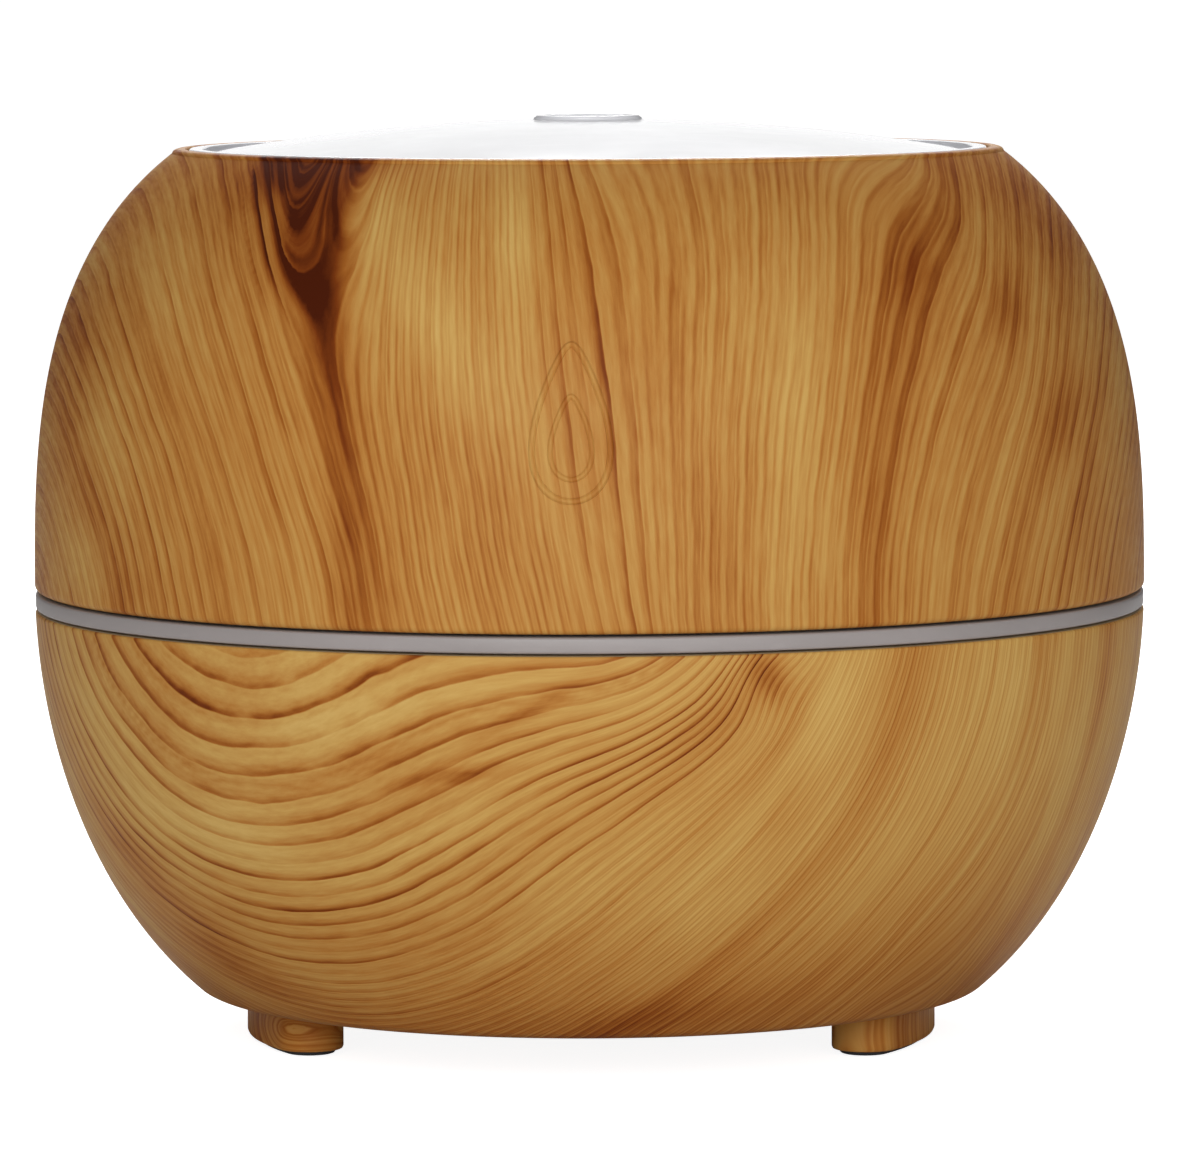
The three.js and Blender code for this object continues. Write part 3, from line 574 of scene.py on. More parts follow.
film = wood_film()
beige = moulded("bare_beige_abs", display(214, 190, 152), 0.45)
dress(cover, "cover", "wood_print", film, "upper_cover")
second_finish(cover, beige, lambda x, y, z: ((np.hypot(x, y) < cover_radius(z) - 1.0 * MM)
                                             & (z < RIM_Z - 0.9 * MM)))
for name, height, thick in (("drop_outline", 17 * MM, 0.42 * MM), ("drop_heart", 9 * MM, 0.36 * MM)):
    flat = drop_line(height) + (-2 * MM, 76 * MM - (17 * MM - height) * 0.2)
    middle, normal = on_cover(flat[:, 0], flat[:, 1], -0.14 * MM)
    bead = ring_bead(name, middle, normal, thick)
    print_film(bead, cover_print, cover_radius, COVER_Z, RIM_Z)
    dress(bead, "cover", "wood_print", film)

# ---------------------------------------------------------------------------------------------
# Top dome: a glossy white disc that drops into the cover's opening, with a fine groove inside its
# flange, a snap-in skirt, three screw bosses underneath and the mist outlet standing at its middle.

OUTLET_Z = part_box("top_dome")[1][2]
BORE_R, TUBE_R = 4.9 * MM, 6.15 * MM
DOME_R, DOME_EDGE_Z, DOME_TOP_Z = 43.4 * MM, 103.9 * MM, 107.5 * MM
SHEET = 1.8 * MM


def dome_height(r):
    """Height of a shallow ball cap at a radius."""
    up = DOME_TOP_Z - DOME_EDGE_Z
    ball = (DOME_R ** 2 + up ** 2) / (2 * up)
    return DOME_TOP_Z - ball + np.sqrt(ball ** 2 - r ** 2)


def polar(radius, degrees):
    """A place (x, y) on a ring about the axis."""
    return radius * np.cos(np.radians(degrees)), radius * np.sin(np.radians(degrees))


GUIDE_PLACES = [polar(20 * MM, a) for a in (90, 210, 330)]


def rod(name, radius, low_z, high_z, at=(0, 0), top_radius=None, columns=48):
    """An upright round bar with flat ends, straight or tapered."""
    top = radius if top_radius is None else top_radius
    made = turn(name, np.array([[0, low_z], [radius, low_z], [top, high_z], [0, high_z]]), columns)
    made.data.transform(Matrix.Translation((*at, 0)))
    return made


def rods(name, places, *sizes):
    """Equal upright bars, one at each place."""
    return [rod(name, *sizes, at) for at in places]


flange_r = OPENING_R - 0.3 * MM
skirt_r = flange_r - 1 * MM
cap_r = np.linspace(DOME_R, TUBE_R + 0.5 * MM, 40)
under_r = np.linspace(TUBE_R, 42 * MM, 24)
root = np.array([TUBE_R + 0.5 * MM, dome_height(TUBE_R + 0.5 * MM)])
dome_outline = np.concatenate([
    [[BORE_R, 98 * MM], [TUBE_R, 98 * MM]], np.stack([under_r, dome_height(under_r) - SHEET], 1),
    [[skirt_r - 1.4 * MM, RIM_Z - 2.8 * MM], [skirt_r - 1.4 * MM, RIM_Z - 5.8 * MM],
     [skirt_r - 0.3 * MM, RIM_Z - 5.8 * MM], [skirt_r, RIM_Z - 5.5 * MM], [skirt_r, RIM_Z - 4.8 * MM]],
    bend((skirt_r, RIM_Z - 3.95 * MM), (0.6 * MM, 0.8 * MM), -80, 80, 7),
    [[skirt_r, RIM_Z - 3.1 * MM], [skirt_r, RIM_Z - 1.1 * MM], [flange_r, RIM_Z - 1.1 * MM]],
    bend((flange_r - 0.3 * MM, RIM_Z - 0.3 * MM), 0.3 * MM, 0, 90, 5),
    bend((45.25 * MM, RIM_Z - 0.25 * MM), 0.25 * MM, 90, 180, 5),
    bend((44.75 * MM, RIM_Z - 1.05 * MM), 0.25 * MM, 0, -90, 4),
    bend((43.95 * MM, RIM_Z - 1.05 * MM), 0.25 * MM, -90, -180, 4),
    bend((DOME_R - 0.1 * MM, DOME_EDGE_Z - 0.4 * MM), 0.4 * MM, 0, 72, 5),
    np.stack([cap_r, dome_height(cap_r)], 1)[1:-1],
    bend(root + (0, 0.35 * MM), 0.35 * MM, -90, -180, 5) - (0, 0.02 * MM),
    [[TUBE_R, OUTLET_Z - 0.4 * MM]],
    bend((TUBE_R - 0.3 * MM, OUTLET_Z - 0.3 * MM), 0.3 * MM, 0, 90, 5),
    bend((BORE_R + 0.3 * MM, OUTLET_Z - 0.3 * MM), 0.3 * MM, 90, 180, 5)])
dome = turn("dome_disc", dome_outline, 300)
carve(dome, "UNION", rods("boss", GUIDE_PLACES, 2.6 * MM, 93.8 * MM, 105.9 * MM))
carve(dome, "DIFFERENCE", rods("boss_bore", GUIDE_PLACES, 1.4 * MM, 90 * MM, 103 * MM))
gloss_white = moulded("gloss_white_abs", display(240, 240, 244), 0.16, depth=0.001, scuffs=0.1,
                      Coat_Weight=0.4)
dress(dome, "cover", "gloss_white", gloss_white, "top_dome")

# ---------------------------------------------------------------------------------------------
# Mist guide: a milky bell hung inside the cover on three screws, which gathers the mist over the
# tank and leads it to the outlet through its neck.

neck_r = TUBE_R + 0.45 * MM
neck = [(2.2, 93.5), (1.6, 93.7), (1.4, 94.3), (1.4, 104.5), (1.1, 104.8), (0.3, 104.8), (0, 104.5)]
bell = [(24.8, 92), (26.2, 90.9), (30.6, 87), (35.8, 82.2), (41.6, 75.9), (47.3, 69.3), (50.2, 65),
        (51.8, 62), (53.0, 58.9), (53.7, 56.6), (55.2, 56.6), (54.6, 58.9), (53.2, 62.5), (51.5, 65.9),
        (48.5, 70), (42.9, 76.6), (37, 83), (31.9, 87.8), (27.4, 92.0), (25.5, 93.5)]
guide_outline = np.concatenate([[[neck_r, 92 * MM]], np.array(bell) * MM, np.array(neck) * MM + (neck_r, 0)])
guide = turn("mist_bell", guide_outline, 240)
carve(guide, "DIFFERENCE", rods("guide_bore", GUIDE_PLACES, 1.5 * MM, 80 * MM, 96 * MM))
milky = moulded("milky_polypropylene", display(228, 229, 228), 0.36, depth=0.004, Subsurface_Weight=0.15,
                Subsurface_Radius=(0.004, 0.004, 0.004))
dress(guide, "cover", "milky_white", milky, "mist_guide")

# ---------------------------------------------------------------------------------------------
# Light ring: a thin frosted band between the two halves, which the lamps inside light up. It stands
# on the bowl's edge with a short skirt inside it; here it is off, a satin grey.

ring_low, ring_high = 50.8 * MM, 52.6 * MM
ring_r = BODY_R - 0.1 * MM
ring_outline = np.concatenate([
    [[58 * MM, ring_low], [60.4 * MM, ring_low], [60.4 * MM, 48.9 * MM], [60.7 * MM, 48.6 * MM],
     [61.7 * MM, 48.6 * MM], [62 * MM, 48.9 * MM], [62 * MM, ring_low]],
    bend((ring_r - 0.3 * MM, ring_low + 0.3 * MM), 0.3 * MM, -90, 0, 5),
    bend((ring_r - 0.3 * MM, ring_high - 0.3 * MM), 0.3 * MM, 0, 90, 5), [[58 * MM, ring_high]]])
ring = turn("light_band", ring_outline, 420)
dress(ring, "base", "frosted",
      moulded("frosted_acrylic", display(168, 160, 158), 0.42, 2500.0, 0.01, Subsurface_Weight=0.1,
              Subsurface_Radius=(0.003, 0.003, 0.003)), "light_ring")

# ---------------------------------------------------------------------------------------------
# Base shell: the lower half, moulded in one with its three kidney-shaped feet, under the same film.
# Cut into it are the intake slots, the screw wells, two button holes and the pocket of the power inlet.

BOWL_SPAN = 57.8 * MM
BOTTOM_Z, FLOOR_Z = 5.4 * MM, 7.6 * MM
BOWL_TOP_Z = 50.5 * MM
FOOT_RING, FOOT_THICK, FOOT_SPREAD, FOOT_Z = 36.6 * MM, 7.8 * MM, 27, 0.5 * MM
FEET = {"left": 193.5, "right": 343.5, "rear": 90}
PAD_INSET, PAD_TOP = 0.9 * MM, 1.1 * MM
BUTTON_X, BUTTON_Z, BUTTON_R, BUTTON_TILT = 8 * MM, 32 * MM, 4.2 * MM, 16
JACK_Z = 15.5 * MM
TOWER_PLACES = [polar(38 * MM, a) for a in (37.5, 142.5, 270)]
FAN_X = 15 * MM
INTAKE_R, SLOT_WIDE, SLOT_PITCH = 14.5 * MM, 2.2 * MM, 4.3 * MM


def bowl_radius(z):
    """Superellipse: radius falls from the widest at the joint as the depth below the joint grows."""
    return BODY_R * (1 - (np.clip(COVER_Z - z, 0, BOWL_SPAN) / BOWL_SPAN) ** 1.91) ** (1 / 3.2)


def ring_body(name, rings):
    """A closed body with flat ends from rings of equally many points, joined ring to ring."""
    count = len(rings[0])
    i = np.arange(count)
    ahead = (i + 1) % count
    base = (np.arange(len(rings) - 1) * count)[:, None]
    faces = np.stack([base + i, base + ahead, base + ahead + count, base + i + count], 2).reshape(-1, 4)
    ends = [i[::-1].tolist(), ((len(rings) - 1) * count + i).tolist()]
    return put_mesh(name, np.concatenate(rings), faces.tolist() + ends)


def stack(name, outline, levels):
    """A ring body whose rings are the flat outline at each level's height and inset. The outline runs
    anticlockwise seen from above, and the levels run upwards."""
    return ring_body(name, [np.insert(outline(inset), 2, height, axis=1) for height, inset in levels])


def kidney(ring, thick, middle, spread):
    """Outline maker: an arc of given thickness about the axis with round ends, drawn in by an inset."""
    half = np.radians(spread / 2)
    m = np.radians(middle)

    def outline(inset):
        r = thick / 2 - inset
        far = np.linspace(m - half, m + half, 24)
        cap = np.linspace(0, np.pi, 16)[1:-1]
        end = ring * np.array([np.cos(m + half), np.sin(m + half)])
        start = ring * np.array([np.cos(m - half), np.sin(m - half)])
        return np.concatenate([
            (ring + r) * np.stack([np.cos(far), np.sin(far)], 1),
            end + r * np.stack([np.cos(m + half + cap), np.sin(m + half + cap)], 1),
            (ring - r) * np.stack([np.cos(far[::-1]), np.sin(far[::-1])], 1),
            start + r * np.stack([np.cos(m - half + np.pi + cap), np.sin(m - half + np.pi + cap)], 1)])
    return outline


def stadium(wide, length, at, steps=20):
    """Outline maker: parallel long sides along Y with round ends, drawn in by an inset."""
    a = np.linspace(0, np.pi, steps)

    def outline(inset):
        r = wide / 2 - inset
        reach = length / 2 - wide / 2
        arc = np.stack([r * np.cos(a), r * np.sin(a)], 1)
        return np.array(at) + np.concatenate([arc + (0, reach), -arc - (0, reach)])
    return outline


def rectangle(x, y):
    """Outline maker: an upright rectangle between two x and two y values, drawn in by an inset."""
    return lambda inset: np.array([(x[0] + inset, y[0] + inset), (x[1] - inset, y[0] + inset),
                                   (x[1] - inset, y[1] - inset), (x[0] + inset, y[1] - inset)])


def round_rectangle(half_wide, half_high, corner):
    """Outline maker: a rectangle about the axis with rounded corners, drawn in by an inset."""
    def outline(inset):
        x, y = half_wide - corner, half_high - corner
        arcs = (((x, -y), -90), ((x, y), 0), ((-x, y), 90), ((-x, -y), 180))
        return np.concatenate([bend(middle, corner - inset, a, a + 90, 8) for middle, a in arcs])
    return outline


def to_wall(made):
    """Turns an upright shape so that its +Z points straight out of the wall at the buttons."""
    out = Matrix.Translation((0, bowl_radius(BUTTON_Z), BUTTON_Z))
    made.data.transform(out @ Matrix.Rotation(np.radians(-90 - BUTTON_TILT), 4, "X"))
    return made


def to_rear(made):
    """Turns an upright shape so that its +Z points to the rear, at the height of the power inlet."""
    made.data.transform(Matrix.Translation((0, 0, JACK_Z)) @ Matrix.Rotation(np.radians(-90), 4, "X"))
    return made


corner_wide, corner_high, corner_end = 3.8 * MM, 2.1 * MM, np.radians(-30.4)
corner_z = BOTTOM_Z + corner_high * (1 + np.sin(corner_end))
side = along_form(bowl_radius, rise(BOWL_TOP_Z - 0.3 * MM, corner_z, 86)[::-1])
lining = along_form(bowl_radius, rise(BOWL_TOP_Z, FLOOR_Z + 1.2 * MM, 24), WALL)
bowl_outline = np.concatenate([
    [[0, BOTTOM_Z]], bend((side[0, 0] - corner_wide * np.cos(corner_end), BOTTOM_Z + corner_high),
                          (corner_wide, corner_high), -90, np.degrees(corner_end), 12)[:-1], side,
    bend((side[-1, 0] - 0.3 * MM, BOWL_TOP_Z - 0.3 * MM), 0.3 * MM, 20, 90, 4), lining,
    [[lining[-1, 0] - 1.4 * MM, FLOOR_Z + 0.3 * MM], [lining[-1, 0] - 2.4 * MM, FLOOR_Z], [0, FLOOR_Z]]])
bowl = turn("bowl_shell", bowl_outline)

foot_levels = [(FOOT_Z, 0.35 * MM), (FOOT_Z + 0.1 * MM, 0.12 * MM), (FOOT_Z + 0.35 * MM, 0.0)]
foot_levels += [(z, 0.0) for z in np.linspace(FOOT_Z + 1 * MM, BOTTOM_Z + 1 * MM, 9)]
feet = [stack(f"foot_{side_name}", kidney(FOOT_RING, FOOT_THICK, a, FOOT_SPREAD), foot_levels)
        for side_name, a in FEET.items()]
inner_pocket = stack("pocket_wall", rectangle((-10.2 * MM, 10.2 * MM), (44.3 * MM, 60 * MM)),
                     [(FLOOR_Z - 0.6 * MM, 0), (24.2 * MM, 0)])
within = along_form(bowl_radius, rise(BOWL_TOP_Z, BOTTOM_Z + 1 * MM, 60)[::-1], 0.5 * MM)
within = np.concatenate([[[0, within[0, 1]]], within, [[0, within[-1, 1]]]])
carve(inner_pocket, "INTERSECT", [turn("bowl_form", within)])
towers = rods("tower", TOWER_PLACES, 5 * MM, FLOOR_Z - 0.5 * MM, 11 * MM)
carve(bowl, "UNION", feet + [inner_pocket] + towers)

pad_seats = [stack("pad_seat", kidney(FOOT_RING, FOOT_THICK - 1.2 * MM, a, FOOT_SPREAD),
                   [(-1 * MM, 0), (PAD_TOP + 0.3 * MM, 0)]) for a in FEET.values()]
wells = rods("well", TOWER_PLACES, 3.5 * MM, 0, 8.8 * MM)
shafts = rods("shaft", TOWER_PLACES, 1.8 * MM, 0, 15 * MM)
slots = [stack("slot", stadium(SLOT_WIDE, 2 * np.sqrt(INTAKE_R ** 2 - dx ** 2), (FAN_X + dx, 0)),
               [(0, 0), (BOTTOM_Z + 0.05 * MM, -0.35 * MM), (BOTTOM_Z + 0.45 * MM, 0), (9 * MM, 0)])
         for dx in (np.arange(7) - 3) * SLOT_PITCH]
pocket_form = round_rectangle(8 * MM, 6.5 * MM, 1.6 * MM)
pocket = to_rear(stack("pocket", pocket_form, [(46.5 * MM, 0), (70 * MM, 0)]))
jack_hole = to_rear(rod("jack_hole", 4.2 * MM, 40 * MM, 50 * MM))
key_holes = [to_wall(rod("key_hole", BUTTON_R + 0.3 * MM, -4.4 * MM, 4 * MM, (x, 0), columns=96))
             for x in (-BUTTON_X, BUTTON_X)]
carve(bowl, "DIFFERENCE", pad_seats + wells + shafts + slots + [pocket, jack_hole] + key_holes)


def bowl_print(around, down):
    """Ring count, place along the grain, darkness, paleness and line strength of the print on the bowl, with
    painted shade at the bottom.
    """
    knot = np.exp(-((around - 20) ** 2 + (down - 5) ** 2) / (2 * 3.2 ** 2))
    turned = around / 65
    a = around + 0.5 * np.sin(down / 7 + 3 * turned) + 0.5 * np.sin(6 * turned)
    b = down + 0.5 * np.sin(5 * turned + 1)
    near, angle = whorl(a, b, (-42, -14), 1)
    near = near - 30 * np.exp(-((around - 8) ** 2 + (down + 8) ** 2) / (2 * 14.0 ** 2)) + 4 * knot
    near = near + (2 * HALF_TURN - 320) * blend_in(90, 190, -around)
    out_there = blend_in(45, 72, around)
    flow = (1 - out_there) * near + out_there * (a + 42 + 0.1 * b * (1 - blend_in(90, 190, around)))
    along = (1 - out_there) * angle * 60 + out_there * b
    steps = np.linspace(0, 330, 1400)
    pitch = 3.5 - 1.5 * blend_in(24, 46, steps) - 0.8 * blend_in(44, 68, steps)
    pitch = pitch + 0.5 * blend_in(90, 120, steps)
    rings = np.interp(flow, steps, np.cumsum((steps[1] - steps[0]) / pitch))

    bands = stripes(flow, ((31.8, 0.6, 0.4), (24.5, 0.6, 0.24), (53, 2, 0.1), (79.5, 2.4, 0.26),
                           (100.5, 0.8, 0.3), (103, 0.6, 0.2), (117, 2.0, 0.26), (131, 1.0, 0.2),
                           (150, 3, 0.2), (172, 2, 0.2)))
    # The first term of marks is painted shade: it darkens the bowl towards the bottom, where the bowl turns
    # under. The spots after it are print.
    marks = 0.12 * blend_in(40, 54, down) + spots(around, down, (
        (0.6, (-15, 15.8), (5.5, 0.8), -8), (0.5, (-7, 8.5), (7, 0.8), -28), (0.3, (-58, 40), (9, 5), 20),
        (0.22, (-72, 30), (10, 5), 30), (0.3, (2, 50), (24, 4), -10), (0.6, (20, 5), (2.0, 3.0), -30),
        (0.25, (14, 10), (7, 2.5), -40)))
    pale = 0.3 * (1 - blend_in(26, 46, down)) + spots(around, down, (
        (0.45, (28, 8), (4, 14)),
        (0.5, (-30, 10), (16, 3), -12), (0.4, (-52, 24), (16, 4), 8), (0.35, (14, 30), (12, 7), -50),
        (0.35, (58, 14), (12, 14))))
    bold = 0.4 + 0.8 * (1 - blend_in(40, 78, flow)) + 0.2 * stripes(flow, ((101, 3, 1), (88, 8, 0.6)))
    return rings, along, np.clip(bands + marks, 0, 1.25), pale, bold


def foot_whorls(made):
    """Turns the film's rings into a small oval whorl on the side of the left foot and into close upright
    lines on the others, where the film was drawn down."""
    x, y, z = corners(made)
    turned = np.degrees(np.arctan2(y, x)) % 360
    layer = made.data.attributes["rings"].data
    values = np.empty(len(x), np.float32)
    layer.foreach_get("value", values)
    for middle, lean in zip(FEET.values(), (17, 60, 0)):
        here = (z < BOTTOM_Z - 0.05 * MM) & (np.abs(turned - middle) < 40)
        values[here] = np.hypot((turned - middle - lean) / 1.5, (z / MM - 3.2) * 2.2)[here] / 2.6
    layer.foreach_set("value", values)


print_film(bowl, bowl_print, bowl_radius, COVER_Z, BOTTOM_Z)
foot_whorls(bowl)
dress(bowl, "base", "wood_print", film, "base_shell")
second_finish(bowl, beige, lambda x, y, z: ((np.hypot(x, y) < bowl_radius(z) - 1.0 * MM)
                                            & (z > BOTTOM_Z + 1.2 * MM)))

# ---------------------------------------------------------------------------------------------
# Foot pads: thin black rubber kidneys glued into the feet, rounded where they meet the table.

rubber = moulded("black_rubber", display(52, 52, 54), 0.8, 1800.0, 0.03, 0.5)
pad_levels = [(0, 0.4 * MM), (0.06 * MM, 0.2 * MM), (0.2 * MM, 0.06 * MM), (0.4 * MM, 0), (PAD_TOP, 0)]
for side_name, middle in FEET.items():
    outline = kidney(FOOT_RING, FOOT_THICK - 2 * PAD_INSET, middle, FOOT_SPREAD)
    pad = stack(f"pad_{side_name}", outline, pad_levels)
    dress(pad, "base", "rubber", rubber, f"foot_pad_{side_name}")

# ---------------------------------------------------------------------------------------------
# Water tank: a milky tub that hangs by its flange on the bowl, with the air duct rising through its
# floor at the right, a dished well over the transducer, and long hollow posts for the base screws.

TANK_Z = 26.5 * MM
TANK_BEND, TANK_FLAT_R = 14 * MM, 36 * MM
TANK_RIM_Z = 58 * MM
DUCT_X, DUCT_WIDE, DUCT_LONG, DUCT_TOP, DUCT_DROP = 32 * MM, 15 * MM, 26 * MM, 62 * MM, 6 * MM
WELL_X = -12 * MM
CLAMP_PLACES = [polar(15.8 * MM, a) + np.array([WELL_X, 0]) for a in (0, 120, 240)]

tank_outline = np.concatenate([
    [[0, TANK_Z]], bend((TANK_FLAT_R, TANK_Z + TANK_BEND), TANK_BEND, -90, 0, 20),
    [[51.6 * MM, COVER_Z - 0.4 * MM], [52 * MM, COVER_Z]],
    bend((61.9 * MM, COVER_Z + 0.3 * MM), 0.3 * MM, -90, 0, 4),
    bend((61.9 * MM, 54 * MM), 0.3 * MM, 0, 90, 4), [[52.4 * MM, 54.3 * MM], [52 * MM, 54.7 * MM]],
    bend((51.5 * MM, TANK_RIM_Z - 0.5 * MM), 0.5 * MM, 0, 90, 5),
    bend((50.5 * MM, TANK_RIM_Z - 0.5 * MM), 0.5 * MM, 90, 180, 5),
    bend((TANK_FLAT_R, TANK_Z + TANK_BEND), 12 * MM, 0, -90, 20),
    [[0, TANK_Z + 2 * MM]]])
tank = turn("tank_tub", tank_outline, 240)


def slanted(wide, length, low_z, top_z):
    """An upright stadium bar whose top falls away outwards, with a slightly rounded upper edge."""
    outline = stadium(wide, length, (DUCT_X, 0))
    fall = -DUCT_DROP / DUCT_WIDE

    def top(inset, below):
        return top_z - DUCT_DROP / 2 + fall * (outline(inset)[:, 0] - DUCT_X) - below
    edge = ((0, 0.4 * MM), (0.12 * MM, 0.12 * MM), (0.4 * MM, 0))
    return stack("duct", outline, [(low_z, 0)] + [(top(inset, below), inset) for inset, below in edge])


fill_mark = stack("fill_mark", rectangle((DUCT_X - 8.1 * MM, DUCT_X - 6.5 * MM), (-5 * MM, 5 * MM)),
                  [(51.1 * MM, 0.2 * MM), (51.3 * MM, 0), (51.7 * MM, 0), (51.9 * MM, 0.2 * MM)])
lower_seat = rod("seat", 13.6 * MM, 23.4 * MM, TANK_Z + 0.4 * MM, (WELL_X, 0), columns=96)
duct = slanted(DUCT_WIDE, DUCT_LONG, TANK_Z + 0.4 * MM, DUCT_TOP)
posts = rods("post", CLAMP_PLACES, 2.6 * MM, 23.4 * MM, TANK_Z + 0.4 * MM)
legs = rods("leg", TOWER_PLACES, 4 * MM, 11.3 * MM, TANK_Z + 1.5 * MM)
carve(tank, "UNION", [duct, fill_mark, lower_seat] + posts + legs)
duct_bore = stack("duct_bore", stadium(DUCT_WIDE - 4 * MM, DUCT_LONG - 4 * MM, (DUCT_X, 0)),
                  [(20 * MM, 0), (70 * MM, 0)])
seat_bore = rod("seat_bore", 11.6 * MM, 20 * MM, TANK_Z, (WELL_X, 0), columns=96)
dish = rod("dish", 8 * MM, TANK_Z - 1 * MM, TANK_Z + 2.5 * MM, (WELL_X, 0), 14.8 * MM, 96)
post_bores = rods("post_bore", CLAMP_PLACES, 1.3 * MM, 20 * MM, 26.2 * MM)
leg_bores = rods("leg_bore", TOWER_PLACES, 1.7 * MM, 10 * MM, 21 * MM)
carve(tank, "DIFFERENCE", [duct_bore, seat_bore, dish] + post_bores + leg_bores)
dress(tank, "base", "milky_white", milky, "water_tank")

# ---------------------------------------------------------------------------------------------
# Transducer: a nickel-faced brass disc that shakes the water into mist, held in a silicone seal
# against the tank's floor by a clamp ring and three screws.

brass = moulded("lapped_brass", display(214, 178, 96), 0.28, 900.0, 0.004, 0.8, Metallic=1.0)
disc_outline = np.array([(0, 24.4), (9.8, 24.4), (10, 24.6), (10, 25), (9.8, 25.2), (0, 25.2)]) * MM
disc = turn("mist_disc", disc_outline, 96)
disc.data.transform(Matrix.Translation((WELL_X, 0, 0)))
dress(disc, "base", "brass", brass, "transducer_disc")

silicone = moulded("clear_silicone", display(214, 214, 210), 0.55, 1500.0, 0.01, Subsurface_Weight=0.2,
                   Subsurface_Radius=(0.002, 0.002, 0.002))
seal_outline = np.array([(7.9, 23.4), (11, 23.4), (11.3, 23.7), (11.3, 25.9), (11, 26.2), (7.9, 26.2),
                         (7.6, 25.9), (7.6, 25.5), (10.3, 25.5), (10.3, 24.1), (7.6, 24.1),
                         (7.6, 23.7)]) * MM
seal = turn("disc_seal", seal_outline, 96)
seal.data.transform(Matrix.Translation((WELL_X, 0, 0)))
dress(seal, "base", "silicone", silicone, "transducer_seal")

# ---------------------------------------------------------------------------------------------
# Screws: zinc-plated pan-head screws with a cross recess. Long ones hold the tank to the base from
# below, and short ones hold the mist guide, the clamp ring, the fan and the circuit board.

zinc = moulded("zinc_plated_steel", display(186, 188, 190), 0.32, 2200.0, 0.004, 0.6, Metallic=1.0)


def cross(arm, half):
    """Outline maker: a plus sign, drawn in by an inset."""
    def outline(inset):
        a, h = arm - inset, half - inset * 0.4
        return np.array([(a, -h), (a, h), (h, h), (h, a), (-h, a), (-h, h),
                         (-a, h), (-a, -h), (-h, -h), (-h, -a), (h, -a), (h, -h)])
    return outline


def pan_screw(name, at, head_z, long, head_r, shank_r, point_up=True):
    """A screw along Z: domed head with a tapering cross recess, thread ridges and a blunt point."""
    head = shank_r * 1.3
    ridges = np.arange(int((long - head - 1.6 * MM) / (0.5 * MM))) * 0.5 * MM + head + 0.4 * MM
    thread = np.stack([np.tile([shank_r * 0.86, shank_r], len(ridges)),
                       np.repeat(ridges, 2) + np.tile([0, 0.25 * MM], len(ridges))], 1)
    outline = np.concatenate([
        [[0, 0]], bend((0, head * 0.55), (head_r, head * 0.55), -80, 0, 8), [[head_r, head]],
        [[shank_r * 0.9, head]], thread, [[shank_r * 0.35, long], [0, long]]])
    made = turn(name, outline, 32)
    recess = stack("recess", cross(head_r * 0.56, head_r * 0.13),
                   [(-0.5 * MM, -0.04 * MM), (0, 0), (head * 0.62, head_r * 0.24)])
    carve(made, "DIFFERENCE", [recess])
    flip = Matrix.Identity(4) if point_up else Matrix.Rotation(np.pi, 4, "X")
    made.data.transform(Matrix.Translation((*at, head_z)) @ flip)
    return made


fan_corners = [(FAN_X + side * 14.5 * MM, side * 14.5 * MM) for side in (-1, 1)]
board_corners = [(-33 * MM, -14 * MM), (-7 * MM, 14 * MM)]
for node, body, places, sizes, point_up in (
        ("guide_screw", "cover", GUIDE_PLACES, (90.1, 11, 2.4, 1.1), True),
        ("base_screw", "base", TOWER_PLACES, (6.6, 13, 3.1, 1.4), True),
        ("clamp_screw", "base", CLAMP_PLACES, (20.1, 5.6, 2.2, 1), True),
        ("fan_screw", "base", fan_corners, (21.5, 12.9, 2.4, 1.2), False),
        ("board_screw", "base", board_corners, (13.9, 5.2, 2.1, 1), False)):
    for i, at in enumerate(places):
        made = pan_screw(f"{node}_piece_{i + 1}", at, *(np.array(sizes) * MM), point_up)
        dress(made, body, "steel", zinc, f"{node}_{i + 1}")

# ---------------------------------------------------------------------------------------------
# Buttons: two glossy white keys in the rear wall, mist and light, that stand a little proud of the
# film and follow its curve. Each has a flange inside the wall and presses a small switch.

KEY_PROUD = 0.6 * MM


def key_surface(across, up):
    """How far out of the wall's tangent plane the key's face lies, found by stepping onto the form."""
    out = np.zeros_like(across)
    tilt = np.radians(BUTTON_TILT)
    for _ in range(8):
        y = bowl_radius(BUTTON_Z) + out * np.cos(tilt) + up * np.sin(tilt)
        z = BUTTON_Z - out * np.sin(tilt) + up * np.cos(tilt)
        out = out + (bowl_radius(z) + KEY_PROUD - np.hypot(across, y)) * 0.9
    return out


def key(name, x):
    """A round key: rings of points from the middle of its face, over a rounded edge, down to its plunger."""
    columns = 72
    a = np.arange(columns) * 2 * np.pi / columns
    flat = np.linspace(0.12, 1, 9) * (BUTTON_R - 0.45 * MM)
    soft = np.radians(np.linspace(15, 90, 6))
    face_r = np.concatenate([flat, BUTTON_R - 0.45 * MM + 0.45 * MM * np.sin(soft)])
    drop = np.concatenate([np.zeros(len(flat)), 0.45 * MM * (1 - np.cos(soft))])
    dimple = 0.12 * MM * np.exp(-(face_r / (1.6 * MM)) ** 2)
    across, up = face_r[:, None] * np.cos(a), face_r[:, None] * np.sin(a)
    face = np.stack([x + across, up, key_surface(x + across, up) - (drop + dimple)[:, None]], 2)
    lower = np.array([(BUTTON_R / MM, -4.5), (5.0, -4.5), (5.0, -5.3), (1.3, -5.3), (1.3, -5.8)]) * MM
    skirt = np.stack([x + lower[:, :1] * np.cos(a), lower[:, :1] * np.sin(a),
                      np.broadcast_to(lower[:, 1:], (len(lower), columns))], 2)
    return ring_body(name, np.concatenate([face, skirt])[::-1])


